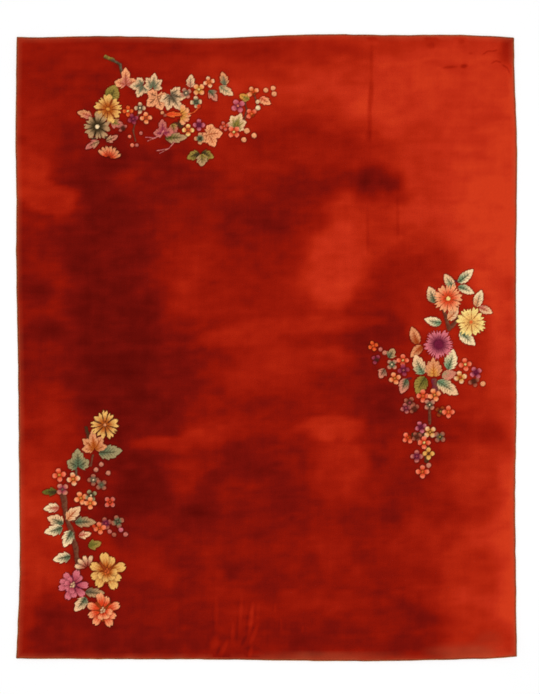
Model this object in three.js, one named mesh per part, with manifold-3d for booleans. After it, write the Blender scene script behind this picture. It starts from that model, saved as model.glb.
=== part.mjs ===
import * as THREE from 'three';
import { mergeVertices } from 'three/addons/utils/BufferGeometryUtils.js';
import Module from 'manifold-3d';

// A hand-knotted wool pile rug, laid flat with its pile up. Millimetres, +Z up.
// The origin is on the floor under the middle of the rug; +Y runs to the top of the design.

// Driving dimensions
const rugWidth = 2440;
const rugLength = 3050;
const pileTop = 13;
const carveDepth = 3;
const carveWidth = 5;

// Fineness: spacing of the outline's points, sides of a fold, overshoot of a cut, merged gaps
const outlineStep = 130;
const foldSegments = 8;
const cutAbove = 0.5;
const mergeTolerance = 1e-4;

// Section of the edge, from the underside round the overcast cord and up the wall of the pile
const edgeSection = [
  { inset: 2.4, height: 0 },
  { inset: 0, height: 2.8 },
  { inset: 1.2, height: 5.4 },
  { inset: 3.6, height: 6.2 },
  { inset: 5.6, height: 5.2 },
  { inset: 6.2, height: 9.4 },
  { inset: 8.8, height: 12.2 },
  { inset: 15, height: pileTop },
];

// How far each side strays outwards from a straight line, at a share of its length.
// The ends are read from left to right, the long sides from bottom to top.
const topStray = [
  { at: 0, out: -4 },
  { at: 0.07, out: -5 },
  { at: 0.14, out: 1 },
  { at: 0.26, out: -2 },
  { at: 0.38, out: -11 },
  { at: 0.51, out: 2 },
  { at: 0.63, out: 10 },
  { at: 0.78, out: 5 },
  { at: 0.88, out: 9 },
  { at: 1, out: -6 },
];
const bottomStray = [
  { at: 0, out: -5 },
  { at: 0.2, out: -2 },
  { at: 0.44, out: 0 },
  { at: 0.57, out: 6 },
  { at: 0.75, out: 7 },
  { at: 0.88, out: -1 },
  { at: 0.95, out: -5 },
  { at: 1, out: -16 },
];
const leftStray = [
  { at: 0, out: 6 },
  { at: 0.06, out: -3 },
  { at: 0.15, out: -12 },
  { at: 0.3, out: -8 },
  { at: 0.5, out: -2 },
  { at: 0.65, out: 6 },
  { at: 0.74, out: 4 },
  { at: 0.84, out: 9 },
  { at: 1, out: 3 },
];
const rightStray = [
  { at: 0, out: 4 },
  { at: 0.12, out: 0 },
  { at: 0.25, out: -4 },
  { at: 0.4, out: 3 },
  { at: 0.6, out: 0 },
  { at: 0.74, out: 4 },
  { at: 0.84, out: 5 },
  { at: 0.93, out: -6 },
  { at: 1, out: -9 },
];

// Ruffles of the pile stand up, and old fold lines are pressed in, where height is below zero
const pileFolds = [
  { x: -245, y: -1330, length: 150, width: 24, heading: 90, height: 1.6 },
  { x: -125, y: -1300, length: 90, width: 18, heading: 84, height: 1.4 },
  { x: -75, y: -1330, length: 170, width: 20, heading: 82, height: 2 },
  { x: -60, y: -1430, length: 130, width: 20, heading: 68, height: 1.8 },
  { x: -195, y: -1455, length: 90, width: 20, heading: 62, height: 1.6 },
  { x: 510, y: 1165, length: 330, width: 9, heading: 90, height: -1.5 },
  { x: 640, y: 690, length: 260, width: 9, heading: 91, height: -1.2 },
];

// Simple leaves: the middle of each leaf, and the way its tip points in degrees from +X
const leaves = [
  { x: -750, y: 1245, length: 85, width: 70, heading: 60 },
  { x: -885, y: 1145, length: 75, width: 38, heading: 155 },
  { x: -730, y: 1090, length: 70, width: 46, heading: 335 },
  { x: -850, y: 995, length: 78, width: 34, heading: 200 },
  { x: -755, y: 1020, length: 64, width: 28, heading: 15 },
  { x: -370, y: 1305, length: 76, width: 40, heading: 95 },
  { x: -205, y: 1315, length: 74, width: 40, heading: 95 },
  { x: -195, y: 1255, length: 72, width: 38, heading: 320 },
  { x: -255, y: 1235, length: 64, width: 40, heading: 315 },
  { x: -105, y: 1225, length: 52, width: 36, heading: 150 },
  { x: -5, y: 1205, length: 58, width: 34, heading: 330 },
  { x: -475, y: 1145, length: 90, width: 26, heading: 178 },
  { x: 890, y: 325, length: 78, width: 44, heading: 130 },
  { x: 975, y: 345, length: 92, width: 46, heading: 32 },
  { x: 975, y: 285, length: 78, width: 40, heading: 345 },
  { x: 805, y: 255, length: 84, width: 56, heading: 125 },
  { x: 1035, y: 240, length: 80, width: 45, heading: 75 },
  { x: 1070, y: 180, length: 64, width: 38, heading: 335 },
  { x: 920, y: 165, length: 72, width: 42, heading: 40 },
  { x: 815, y: 125, length: 84, width: 45, heading: 175 },
  { x: 980, y: 40, length: 88, width: 50, heading: 310 },
  { x: 720, y: 55, length: 84, width: 46, heading: 125 },
  { x: 730, y: -15, length: 74, width: 38, heading: 215 },
  { x: 740, y: -90, length: 92, width: 56, heading: 125 },
  { x: 910, y: -55, length: 92, width: 58, heading: 65 },
  { x: 670, y: -185, length: 70, width: 44, heading: 240 },
  { x: 745, y: -175, length: 88, width: 60, heading: 225 },
  { x: 890, y: -190, length: 112, width: 58, heading: 330 },
  { x: 890, y: -130, length: 70, width: 42, heading: 15 },
  { x: 615, y: -30, length: 50, width: 40, heading: 60 },
  { x: 565, y: -125, length: 48, width: 34, heading: 235 },
  { x: -760, y: -515, length: 102, width: 64, heading: 355 },
  { x: -1060, y: -700, length: 68, width: 34, heading: 178 },
  { x: -1050, y: -780, length: 74, width: 42, heading: 190 },
  { x: -1030, y: -835, length: 74, width: 46, heading: 150 },
  { x: -940, y: -810, length: 78, width: 45, heading: 50 },
  { x: -890, y: -845, length: 90, width: 48, heading: 10 },
  { x: -1040, y: -895, length: 80, width: 46, heading: 205 },
  { x: -975, y: -935, length: 82, width: 46, heading: 235 },
  { x: -1000, y: -1025, length: 82, width: 42, heading: 195 },
  { x: -885, y: -915, length: 58, width: 30, heading: 10 },
  { x: -840, y: -965, length: 60, width: 40, heading: 15 },
  { x: -830, y: -1205, length: 82, width: 38, heading: 350 },
  { x: -905, y: -1255, length: 78, width: 46, heading: 245 },
];

// Lobed leaves and half-open blooms, spread like a hand about the heading of the middle lobe
const lobedLeaves = [
  { x: -690, y: 1300, reach: 68, lobes: 3, heading: 92 },
  { x: -605, y: 1275, reach: 58, lobes: 3, heading: 225 },
  { x: -555, y: 1285, reach: 60, lobes: 3, heading: 78 },
  { x: -540, y: 1225, reach: 62, lobes: 3, heading: 265 },
  { x: -455, y: 1225, reach: 62, lobes: 4, heading: 290 },
  { x: -440, y: 1025, reach: 50, lobes: 4, heading: 355 },
  { x: -325, y: 950, reach: 66, lobes: 3, heading: 272 },
  { x: -265, y: 1045, reach: 58, lobes: 4, heading: 325 },
  { x: -140, y: 1090, reach: 56, lobes: 3, heading: 70 },
  { x: -775, y: 915, reach: 62, lobes: 5, heading: 82 },
  { x: -505, y: 1060, reach: 56, lobes: 3, heading: 95 },
  { x: -405, y: 1135, reach: 62, lobes: 4, heading: 0 },
  { x: 820, y: -125, reach: 66, lobes: 5, heading: 90 },
  { x: -845, y: -490, reach: 66, lobes: 5, heading: 95 },
  { x: -920, y: -565, reach: 64, lobes: 3, heading: 92 },
];

// Full blossoms: chrysanthemums with many narrow petals and peonies with few broad ones
const blossoms = [
  { x: -775, y: 1165, reach: 62, petals: 9, notch: 0.24, turn: 8 },
  { x: -825, y: 1080, reach: 62, petals: 9, notch: 0.2, turn: 0 },
  { x: 890, y: 240, reach: 66, petals: 13, notch: 0.16, turn: 5 },
  { x: 1000, y: 125, reach: 66, petals: 13, notch: 0.18, turn: 0 },
  { x: 840, y: 15, reach: 68, petals: 13, notch: 0.16, turn: 9 },
  { x: -790, y: -380, reach: 66, petals: 11, notch: 0.22, turn: 0 },
  { x: -780, y: -1100, reach: 98, petals: 8, notch: 0.26, turn: 12 },
  { x: -945, y: -1160, reach: 82, petals: 8, notch: 0.26, turn: 0 },
  { x: -800, y: -1285, reach: 92, petals: 8, notch: 0.28, turn: 20 },
];

const wasm = await Module();
wasm.setup();

function solidOf(geometry) {
  geometry.deleteAttribute('normal');
  geometry.deleteAttribute('uv');
  const merged = mergeVertices(geometry, mergeTolerance);
  const mesh = new wasm.Mesh({
    numProp: 3,
    vertProperties: merged.attributes.position.array,
    triVerts: new Uint32Array(merged.index.array),
  });
  return new wasm.Manifold(mesh);
}

function geometryOf(solid) {
  const mesh = solid.getMesh();
  const geometry = new THREE.BufferGeometry();
  geometry.setAttribute('position', new THREE.BufferAttribute(mesh.vertProperties, 3));
  geometry.setIndex(new THREE.BufferAttribute(mesh.triVerts, 1));
  geometry.computeVertexNormals();
  return geometry;
}

// The stray of one side as a smooth curve through its table
function strayCurve(table) {
  const shares = table.map((row) => row.at);
  const offsets = table.map((row) => row.out);
  const curve = new THREE.CubicInterpolant(shares, offsets, 1);
  return (share) => curve.evaluate(share)[0];
}

const strayAt = {
  top: strayCurve(topStray),
  bottom: strayCurve(bottomStray),
  left: strayCurve(leftStray),
  right: strayCurve(rightStray),
};

// Moves a point of the straight-sided plan to where the uneven sides carry it
function strayed(x, y) {
  const across = x / rugWidth + 0.5;
  const along = y / rugLength + 0.5;
  const shiftX = THREE.MathUtils.lerp(-strayAt.left(along), strayAt.right(along), across);
  const shiftY = THREE.MathUtils.lerp(-strayAt.bottom(across), strayAt.top(across), along);
  return new THREE.Vector2(x + shiftX, y + shiftY);
}

function atHeight(outline, height) {
  return outline.map((point) => new THREE.Vector3(point.x, point.y, height));
}

// One anticlockwise loop round the rug, a set distance in from its outline
function outlineLoop(inset) {
  const halfWidth = rugWidth / 2 - inset;
  const halfLength = rugLength / 2 - inset;
  const corners = [
    new THREE.Vector2(-halfWidth, -halfLength),
    new THREE.Vector2(halfWidth, -halfLength),
    new THREE.Vector2(halfWidth, halfLength),
    new THREE.Vector2(-halfWidth, halfLength),
  ];
  const loop = [];
  corners.forEach((corner, i) => {
    const next = corners[(i + 1) % corners.length];
    const steps = Math.round((i % 2 ? rugLength : rugWidth) / outlineStep);
    for (let s = 0; s < steps; s += 1) {
      const point = corner.clone().lerp(next, s / steps);
      loop.push(strayed(point.x, point.y));
    }
  });
  return loop;
}

// Triangles of the bands between loops of equal length; a ring joins its last loop to its first
function lofted(loops, isRing) {
  const count = loops[0].length;
  const bands = isRing ? loops.length : loops.length - 1;
  const triangles = [];
  for (let i = 0; i < bands; i += 1) {
    const from = i * count;
    const to = ((i + 1) % loops.length) * count;
    for (let j = 0; j < count; j += 1) {
      const k = (j + 1) % count;
      triangles.push(from + j, from + k, to + k);
      triangles.push(from + j, to + k, to + j);
    }
  }
  return triangles;
}

function solidOfTriangles(points, triangles) {
  const geometry = new THREE.BufferGeometry().setFromPoints(points);
  geometry.setIndex(triangles);
  return solidOf(geometry);
}

// The uncarved rug: loops lofted up the edge section, closed by a flat underside and a flat pile
function plainRug() {
  const loops = edgeSection.map((row) => atHeight(outlineLoop(row.inset), row.height));
  const triangles = lofted(loops, false);
  const count = loops[0].length;
  const topLoop = (loops.length - 1) * count;
  const underCentre = loops.length * count;
  const topCentre = underCentre + 1;
  for (let j = 0; j < count; j += 1) {
    const k = (j + 1) % count;
    triangles.push(underCentre, k, j);
    triangles.push(topCentre, topLoop + j, topLoop + k);
  }
  const centres = [new THREE.Vector3(0, 0, 0), new THREE.Vector3(0, 0, pileTop)];
  return solidOfTriangles([...loops.flat(), ...centres], triangles);
}

// A low mound or a shallow trough, longer than wide, lying on the face of the pile
function pileFold(fold) {
  const lens = new THREE.SphereGeometry(1, foldSegments, foldSegments);
  lens.scale(fold.length / 2, fold.width / 2, Math.abs(fold.height));
  lens.rotateZ(THREE.MathUtils.degToRad(fold.heading));
  lens.translate(fold.x, fold.y, pileTop);
  return solidOf(lens);
}

// A point at a distance and an angle in degrees from the middle of a motif
function around(motif, distance, angle) {
  const turn = THREE.MathUtils.degToRad(angle);
  return new THREE.Vector2(motif.x + distance * Math.cos(turn), motif.y + distance * Math.sin(turn));
}

// Outlines of the motifs. Each can be drawn grown by a margin, which marks the line to be carved.
const leafSide = [
  { along: -0.3, half: 0.34 },
  { along: -0.02, half: 0.5 },
  { along: 0.26, half: 0.34 },
];

function leafOutline(leaf, margin) {
  const length = leaf.length + 2 * margin;
  const width = leaf.width + 2 * margin;
  const lower = leafSide.map((row) => new THREE.Vector2(row.along * length, -row.half * width));
  const upper = leafSide.map((row) => new THREE.Vector2(row.along * length, row.half * width));
  const base = new THREE.Vector2(-length / 2, 0);
  const tip = new THREE.Vector2(length / 2, 0);
  const middle = new THREE.Vector2(leaf.x, leaf.y);
  const turn = THREE.MathUtils.degToRad(leaf.heading);
  const outline = [base, ...lower, tip, ...upper.reverse()];
  return outline.map((point) => point.rotateAround(new THREE.Vector2(), turn).add(middle));
}

const lobeSpread = 250;
const lobeNotch = 0.5;
const lobeTip = 0.14;
const lobeStalk = 0.3;

function lobedOutline(leaf, margin) {
  const lobeAngle = lobeSpread / leaf.lobes;
  const reach = leaf.reach + margin;
  const notch = leaf.reach * lobeNotch + margin;
  const outline = [around(leaf, leaf.reach * lobeStalk + margin, leaf.heading + 180)];
  for (let i = 0; i < leaf.lobes; i += 1) {
    const middle = leaf.heading + (i - (leaf.lobes - 1) / 2) * lobeAngle;
    if (i > 0) {
      outline.push(around(leaf, notch, middle - lobeAngle / 2));
    }
    outline.push(around(leaf, reach, middle - lobeTip * lobeAngle));
    outline.push(around(leaf, reach, middle + lobeTip * lobeAngle));
  }
  return outline;
}

const petalShoulder = 0.28;

function blossomOutline(blossom, margin) {
  const petalAngle = 360 / blossom.petals;
  const reach = blossom.reach + margin;
  const notch = blossom.reach * (1 - blossom.notch) + margin;
  const outline = [];
  for (let i = 0; i < blossom.petals; i += 1) {
    const middle = blossom.turn + i * petalAngle;
    outline.push(around(blossom, reach, middle - petalShoulder * petalAngle));
    outline.push(around(blossom, reach, middle + petalShoulder * petalAngle));
    outline.push(around(blossom, notch, middle + petalAngle / 2));
  }
  return outline;
}

function prism(outline, bottom, top) {
  const shape = new THREE.Shape(outline);
  const geometry = new THREE.ExtrudeGeometry(shape, { depth: top - bottom, bevelEnabled: false });
  geometry.translate(0, 0, bottom);
  return solidOf(geometry);
}

// The wedge of pile that is clipped away along the outline of a motif
function carvedLine(motif, outlineOf) {
  const deep = atHeight(outlineOf(motif, carveWidth / 2), pileTop - carveDepth);
  const outer = atHeight(outlineOf(motif, carveWidth), pileTop + cutAbove);
  const inner = atHeight(outlineOf(motif, 0), pileTop + cutAbove);
  const loops = [deep, outer, inner];
  return solidOfTriangles(loops.flat(), lofted(loops, true));
}

// All the carved lines: each motif covers the lines of those below it and adds its own
function carving() {
  const motifs = [
    ...leaves.map((leaf) => ({ motif: leaf, outlineOf: leafOutline })),
    ...lobedLeaves.map((leaf) => ({ motif: leaf, outlineOf: lobedOutline })),
    ...blossoms.map((blossom) => ({ motif: blossom, outlineOf: blossomOutline })),
  ];
  let lines = null;
  for (const { motif, outlineOf } of motifs) {
    const cover = prism(outlineOf(motif, carveWidth / 2), 0, 2 * pileTop);
    const line = carvedLine(motif, outlineOf);
    lines = lines ? lines.subtract(cover).add(line) : line;
  }
  return lines;
}

function rugSolid() {
  let pile = plainRug();
  for (const fold of pileFolds) {
    const lens = pileFold(fold);
    pile = fold.height > 0 ? pile.add(lens) : pile.subtract(lens);
  }
  return pile.subtract(carving());
}

const wool = new THREE.MeshStandardMaterial({ color: 0x9b1c0c, roughness: 0.95, metalness: 0 });

function rugMesh() {
  const geometry = geometryOf(rugSolid());
  geometry.computeBoundingBox();
  const middle = geometry.boundingBox.getCenter(new THREE.Vector3());
  geometry.translate(-middle.x, -middle.y, 0);
  const mesh = new THREE.Mesh(geometry, wool);
  mesh.name = 'rug';
  return mesh;
}

const part = new THREE.Group();
part.add(rugMesh());

export default part;
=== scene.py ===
import math

import bpy
import numpy as np
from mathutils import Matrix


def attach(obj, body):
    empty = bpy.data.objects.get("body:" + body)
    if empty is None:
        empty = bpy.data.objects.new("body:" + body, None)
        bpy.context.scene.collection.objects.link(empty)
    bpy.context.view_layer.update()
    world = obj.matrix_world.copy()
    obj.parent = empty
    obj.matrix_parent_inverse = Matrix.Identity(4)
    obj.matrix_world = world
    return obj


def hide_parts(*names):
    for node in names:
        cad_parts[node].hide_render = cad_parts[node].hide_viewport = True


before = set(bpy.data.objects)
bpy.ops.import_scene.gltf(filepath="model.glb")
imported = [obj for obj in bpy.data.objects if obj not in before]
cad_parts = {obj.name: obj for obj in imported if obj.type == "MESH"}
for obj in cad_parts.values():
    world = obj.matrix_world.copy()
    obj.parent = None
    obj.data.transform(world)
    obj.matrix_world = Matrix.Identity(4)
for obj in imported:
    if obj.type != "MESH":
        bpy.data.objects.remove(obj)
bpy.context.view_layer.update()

mm = 0.001
chance = np.random.default_rng(31)  # every random choice below is drawn from here, in order


def smooth(share):
    share = np.clip(share, 0.0, 1.0)
    return share * share * (3.0 - 2.0 * share)


def mixed(first, second, share):
    return first + (second - first) * share


# tables with named columns. Rows may stop short where the usual values hold
def rowsOf(columns, table, **usual):
    return [{**usual, **dict(zip(columns.split(), row))} for row in table]


# ways along and across a heading, in degrees from +X
def turned(offX, offY, heading):
    turn = math.radians(heading)
    along = offX * math.cos(turn) + offY * math.sin(turn)
    across = offY * math.cos(turn) - offX * math.sin(turn)
    return along, across


# the place a given way off along a heading
def wayFrom(x, y, way, heading):
    turn = math.radians(heading)
    return x + way * math.cos(turn), y + way * math.sin(turn)


lightOnRug = 1.1  # the studio's light against plain white


# a dye given as it looks on screen, 0 to 255, turned into the linear colour that shaders want
def dye(red, green, blue):
    share = np.array((red, green, blue)) / 255.0
    return np.where(share < 0.04045, share / 12.92, ((share + 0.055) / 1.055) ** 2.4) / lightOnRug


# odd whole numbers that scramble the corners of noise cells
scramble = {"x": 374761393, "y": 668265263, "seed": 69069, "spread": 1274126177, "keep": 0x7FFFFFFF}


# smooth value noise from -1 to 1, in cells of the given size
def softNoise(x, y, cell, seed):
    gridX, gridY = np.floor(x / cell), np.floor(y / cell)
    shareX, shareY = smooth(x / cell - gridX), smooth(y / cell - gridY)

    def corner(stepX, stepY):
        code = (gridX + stepX).astype(np.int64) * scramble["x"]
        code = code + (gridY + stepY).astype(np.int64) * scramble["y"]
        code = (code + seed * scramble["seed"]) & scramble["keep"]
        code = ((code ^ (code >> 13)) * scramble["spread"]) & scramble["keep"]
        return ((code ^ (code >> 16)) & 0xFFFF) / 32767.5 - 1.0

    low = mixed(corner(0, 0), corner(1, 0), shareX)
    high = mixed(corner(0, 1), corner(1, 1), shareX)
    return mixed(low, high, shareY)


noiseColumns = "size cell flatten seed"


def layeredNoise(x, y, layers):
    return sum(
        layer["size"] * softNoise(x, y * layer["flatten"], layer["cell"], layer["seed"])
        for layer in layers
    )


# The rug, in millimetres. The edge section runs from the face of the pile down to the underside.
rug = {
    "width": 2440.0,
    "length": 3050.0,
    "pileTop": 13.0,
    "cordHeight": 2.8,    # where the edge is widest
    "ringSlack": 0.05,
    "sideBand": 40.0,     # a side lies within this of its outermost point
    "columns": 120,       # broad cells over the face
    "rows": 150,
    "knotsPerCell": 5,    # cells that hold flowers are split down to the single knots
    "splitCover": 0.02,   # the least flower, carving or fold for which a cell is split
    "splitFold": 0.05,
    "carveDepth": 2.4,
    "waver": 1.3,         # how far the edge strays over a hand's width
    "waverCell": 48.0,
    "swell": 0.45,        # slow rise and fall of the pile
    "swellNoise": rowsOf(noiseColumns, [(1.0, 420, 1, 21), (0.5, 160, 1, 22), (0.25, 60, 1, 23)]),
    "roughness": 0.12,    # unevenness from knot to knot
}
edgeSection = rowsOf("inset height", [
    (15.0, 13.0),
    (11.5, 12.8),
    (8.8, 12.0),
    (6.8, 9.4),
    (6.2, 5.2),
    (3.6, 5.2),
    (1.6, 4.6),
    (0.8, 2.8),
    (2.4, 0.0),
])


# the four sides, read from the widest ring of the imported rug
def sidesOfRug():
    points = np.array([vertex.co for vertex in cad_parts["rug"].data.vertices]) / mm
    ring = points[np.abs(points[:, 2] - rug["cordHeight"]) < rug["ringSlack"]]
    found = {}
    for name, axis, sign in (("left", 0, -1), ("right", 0, 1), ("bottom", 1, -1), ("top", 1, 1)):
        reach = sign * ring[:, axis]
        side = ring[reach > reach.max() - rug["sideBand"]]
        side = side[np.argsort(side[:, 1 - axis])]
        found[name] = side[:, 1 - axis], side[:, axis]
    return found


sides = sidesOfRug()


# moves points of the straight rectangle to where the uneven sides carry them
def strayed(x, y):
    halfWidth, halfLength = rug["width"] / 2, rug["length"] / 2
    left = np.interp(y, *sides["left"]) + halfWidth
    right = np.interp(y, *sides["right"]) - halfWidth
    bottom = np.interp(x, *sides["bottom"]) + halfLength
    top = np.interp(x, *sides["top"]) - halfLength
    shiftX = mixed(left, right, x / rug["width"] + 0.5)
    shiftY = mixed(bottom, top, y / rug["length"] + 0.5)
    besideX = smooth(1.0 - (halfWidth - np.abs(x)) / rug["waverCell"])
    besideY = smooth(1.0 - (halfLength - np.abs(y)) / rug["waverCell"])
    waverX = rug["waver"] * softNoise(y, np.sign(x) * halfWidth, rug["waverCell"], 61)
    waverY = rug["waver"] * softNoise(x, np.sign(y) * halfLength, rug["waverCell"], 62)
    return x + shiftX + besideX * waverX, y + shiftY + besideY * waverY


# The chart: one point for each knot of the face, on which the sprays are laid out
def newChart():
    inset = edgeSection[0]["inset"]
    across = np.linspace(-0.5, 0.5, rug["columns"] * rug["knotsPerCell"] + 1) * (rug["width"] - 2 * inset)
    along = np.linspace(-0.5, 0.5, rug["rows"] * rug["knotsPerCell"] + 1) * (rug["length"] - 2 * inset)
    x, y = strayed(*np.meshgrid(across, along))
    return {
        "across": across,
        "along": along,
        "x": x,
        "y": y,
        "colour": np.zeros(x.shape + (3,)),
        "cover": np.zeros(x.shape),   # 1 where a knot is of flower yarn
        "crown": np.zeros(x.shape),   # how far petals and leaves stand up, mm
        # the clipped line is both pressed down and darkened with painted shade
        "shadedGroove": np.zeros(x.shape),   # 1 in the bottom of a clipped line
    }


chart = newChart()
print("chart of", chart["x"].size, "knots")

# Yarns of the sprays, as they look on screen
yarns = {
    "ivory": dye(252, 218, 168),
    "cream": dye(243, 192, 143),
    "straw": dye(251, 216, 130),
    "honey": dye(238, 180, 98),
    "gold": dye(222, 146, 62),
    "amber": dye(182, 88, 24),
    "peach": dye(230, 150, 100),
    "apricot": dye(250, 164, 112),
    "salmon": dye(246, 128, 94),
    "orange": dye(234, 104, 46),
    "coral": dye(222, 66, 30),
    "blush": dye(214, 132, 104),
    "rose": dye(206, 112, 96),
    "fawn": dye(190, 146, 102),
    "russet": dye(180, 96, 72),
    "lilac": dye(218, 112, 120),
    "mauve": dye(170, 64, 76),
    "plum": dye(114, 28, 54),
    "jade": dye(112, 142, 104),
    "teal": dye(92, 108, 78),
    "moss": dye(104, 98, 36),
    "olive": dye(158, 130, 58),
    "sage": dye(165, 146, 102),
    "slate": dye(110, 92, 70),
    "pine": dye(62, 48, 26),
    "brown": dye(92, 40, 26),
    "bark": dye(122, 72, 50),
    "rust": dye(160, 62, 20),
}

print("yarns", len(yarns))

# How the sprays are knotted, in millimetres
spray = {
    "room": 30.0,         # of the chart round a motif
    "softEdge": 4.0,      # a colour changes over about one knot
    # The clipped line round each outline is pressed in and also darkened with painted shade
    "carveWidth": 4.0,
    "carveShift": 3.0,    # how far outside the outline the clipped line is deepest
    "crownHeight": 0.9,
    "crownRun": 10.0,     # how far in from its outline a petal reaches its full height
    "ragged": 1.1,        # how far an outline strays from its drawing
    "raggedCell": 8.0,
    "mottle": 0.1,        # share of a colour
}


# the part of the chart round a motif
def windowOf(x, y, reach):
    room = reach + spray["room"]
    columns = np.searchsorted(chart["across"], (x - room, x + room))
    rows = np.searchsorted(chart["along"], (y - room, y + room))
    return np.s_[rows[0]:rows[1], columns[0]:columns[1]]


def local(window, x, y, heading):
    return turned(chart["x"][window] - x, chart["y"][window] - y, heading)


# lays a motif on the chart. Depth is how far a knot lies inside the outline, mm. Just outside the outline
# a clipped line is pressed into the pile and marked for painted shade
def lay(window, depth, colour, carved=1.0, crown=1.0):
    ragged = softNoise(chart["x"][window], chart["y"][window], spray["raggedCell"], 41)
    depth = depth + spray["ragged"] * ragged
    colour = colour * (1.0 + spray["mottle"] * ragged[..., None])
    cover = smooth(depth / spray["softEdge"] + 0.5)
    shadedDitch = smooth(1.0 - np.abs(depth + spray["carveShift"]) / spray["carveWidth"]) * carved
    height = crown * spray["crownHeight"] * smooth(depth / spray["crownRun"])
    chart["colour"][window] = mixed(chart["colour"][window], colour, cover[..., None])
    chart["cover"][window] = np.maximum(chart["cover"][window], cover)
    chart["crown"][window] = mixed(chart["crown"][window], height, cover)
    chart["shadedGroove"][window] = np.maximum(chart["shadedGroove"][window] * (1.0 - cover), shadedDitch)


def between(heart, rim, share):
    return mixed(yarns[heart], yarns[rim], share[..., None])


# a blade from its foot to a point: depth of each knot, share of its length and share of its half width
def bladeOf(along, across, length, halfWidth, form):
    share = along / length
    inside = np.clip(share, 0.0, 1.0)
    swelling = (inside / form["widest"]) ** form["full"]
    narrowing = ((1.0 - inside) / (1.0 - form["widest"])) ** form["point"]
    half = np.minimum(halfWidth * swelling * narrowing, halfWidth)
    beyond = length * np.maximum(np.maximum(-share, share - 1.0), 0.0)
    return half - np.abs(across) - beyond, inside, np.abs(across) / np.maximum(half, 1.0)


# Side veins stand like a comb on the midrib. Spacing and width in millimetres
veins = {"spacing": 15.0, "lean": 0.9, "width": 2.8, "comb": 0.75, "midrib": 0.9}


# the colours of a leaf with its veins. Heart is 1 where the heart's colour is full
def veined(leaf, heart, along, across, inside, edgeShare):
    ribs = ((along - np.abs(across) * veins["lean"]) / veins["spacing"]) % 1.0
    comb = veins["comb"] * smooth(1.4 - np.abs(ribs - 0.5) * 7.0) * smooth(1.6 - edgeShare * 1.5)
    midrib = veins["midrib"] * smooth(1.4 - np.abs(across) / veins["width"])
    line = np.maximum(comb, midrib) * smooth(2.6 - inside * 3.0)
    return mixed(between(leaf["rim"], leaf["heart"], heart), yarns[leaf["vein"]], line[..., None])


# Fill says how far the heart's colour spreads. Edge and tip hold it back there, side moves it aside
leafForm = {
    "widest": 0.44,       # share of its length
    "full": 0.6,
    "point": 0.85,
    "fill": 1.35,
    "edge": 0.8,
    "tip": 1.45,
    "side": 0.8,
    "bend": 0.14,         # how far its tip swings aside, share of its length
}


# a pointed leaf with forward teeth, dark about its foot and pale at its margins
def drawLeaf(leaf):
    length, width = leaf["length"], leaf["width"]
    window = windowOf(leaf["x"], leaf["y"], length)
    along, across = local(window, leaf["x"], leaf["y"], leaf["heading"])
    along = along + length / 2
    share = np.clip(along / length, 0.0, 1.0)
    across = across + leafForm["bend"] * length * share ** 2 * math.sin(leaf["x"] + leaf["y"])
    spikes = 1.0 + ((share * leaf["teeth"]) % 1.0 - 0.5) / leaf["teeth"]
    depth, inside, edgeShare = bladeOf(along, across / spikes, length, width / 2, leafForm)
    heart = leafForm["fill"] - edgeShare * leafForm["edge"] - inside * leafForm["tip"]
    heart = smooth(heart + leafForm["side"] * across / width)
    lay(window, depth, veined(leaf, heart, along, across, inside, edgeShare))


lobeForm = {
    "widest": 0.5,
    "full": 0.6,
    "point": 0.8,
    "fill": 1.62,
    "edge": 0.75,
    "tip": 2.0,
    "shorten": 0.3,       # the outermost lobes against the middle one
    "spikes": 2.6,        # along each lobe
    "leastSpike": 0.84,
    "spikeReach": 0.34,
    # footCarve and tipCarve set both the depth of the clipped outline and its painted shade
    "footCarve": 0.5,     # how deep its outline is clipped, and how much deeper towards the tip
    "tipCarve": 0.4,
}


# pointed lobes spread like a hand about the heading of the middle one
def drawLobed(leaf):
    reach, lobes = leaf["reach"], leaf["lobes"]
    footX, footY = wayFrom(leaf["x"], leaf["y"], -reach * leaf["stalk"], leaf["heading"])
    middle = (lobes - 1) / 2
    for i in sorted(range(lobes), key=lambda lobe: -abs(lobe - middle)):
        lean = (i - middle) / middle
        length = reach * (1.0 + leaf["stalk"]) * (1.0 - lobeForm["shorten"] * abs(lean))
        window = windowOf(footX, footY, length)
        along, across = local(window, footX, footY, leaf["heading"] + lean * leaf["spread"] / 2)
        share = np.clip(along / length, 0.0, 1.0)
        spikes = lobeForm["leastSpike"] + lobeForm["spikeReach"] * ((share * lobeForm["spikes"]) % 1.0)
        halfWidth = reach * leaf["breadth"]
        depth, inside, edgeShare = bladeOf(along, across / spikes, length, halfWidth, lobeForm)
        heart = smooth(lobeForm["fill"] - inside * lobeForm["tip"] - edgeShare * lobeForm["edge"])
        colour = veined(leaf, heart, along, across, inside, edgeShare)
        carved = lobeForm["footCarve"] + lobeForm["tipCarve"] * smooth(inside * 2.0 - 0.6)
        lay(window, depth, colour, carved)


# Petals, in shares of their own size
petalForm = {
    "late": 1.5,          # above 1 it is broadest past the middle
    "full": 0.6,
    "notchDepth": 0.12,
    "notchWidth": 0.18,
    "streaks": 22.0,
    "streak": 0.16,
    "fade": 1.5,
    "deep": 0.25,         # how far out the heart's colour reaches
}


# one petal from its foot outwards, broadest near its notched tip
def drawPetal(bloom, length, width, heading, foot, deep=petalForm["deep"]):
    x, y = wayFrom(bloom["x"], bloom["y"], foot + length / 2, heading)
    window = windowOf(x, y, length)
    along, across = local(window, x, y, heading)
    inside = np.clip(along / length + 0.5, 0.0, 1.0)
    half = width / 2 * np.sin(math.pi * inside ** petalForm["late"]) ** petalForm["full"]
    notch = smooth(1.0 - np.abs(across) / (petalForm["notchWidth"] * width))
    notch = petalForm["notchDepth"] * length * notch
    beyond = np.maximum(np.maximum(-along - length / 2, along + notch - length / 2), 0.0)
    depth = np.minimum(half - np.abs(across) - beyond, length / 2 - notch - along)
    streak = petalForm["streak"] * np.cos(across / width * petalForm["streaks"])
    outward = smooth(inside * petalForm["fade"] - deep + streak)
    lay(window, depth, between(bloom["heart"], bloom["rim"], outward))


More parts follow.
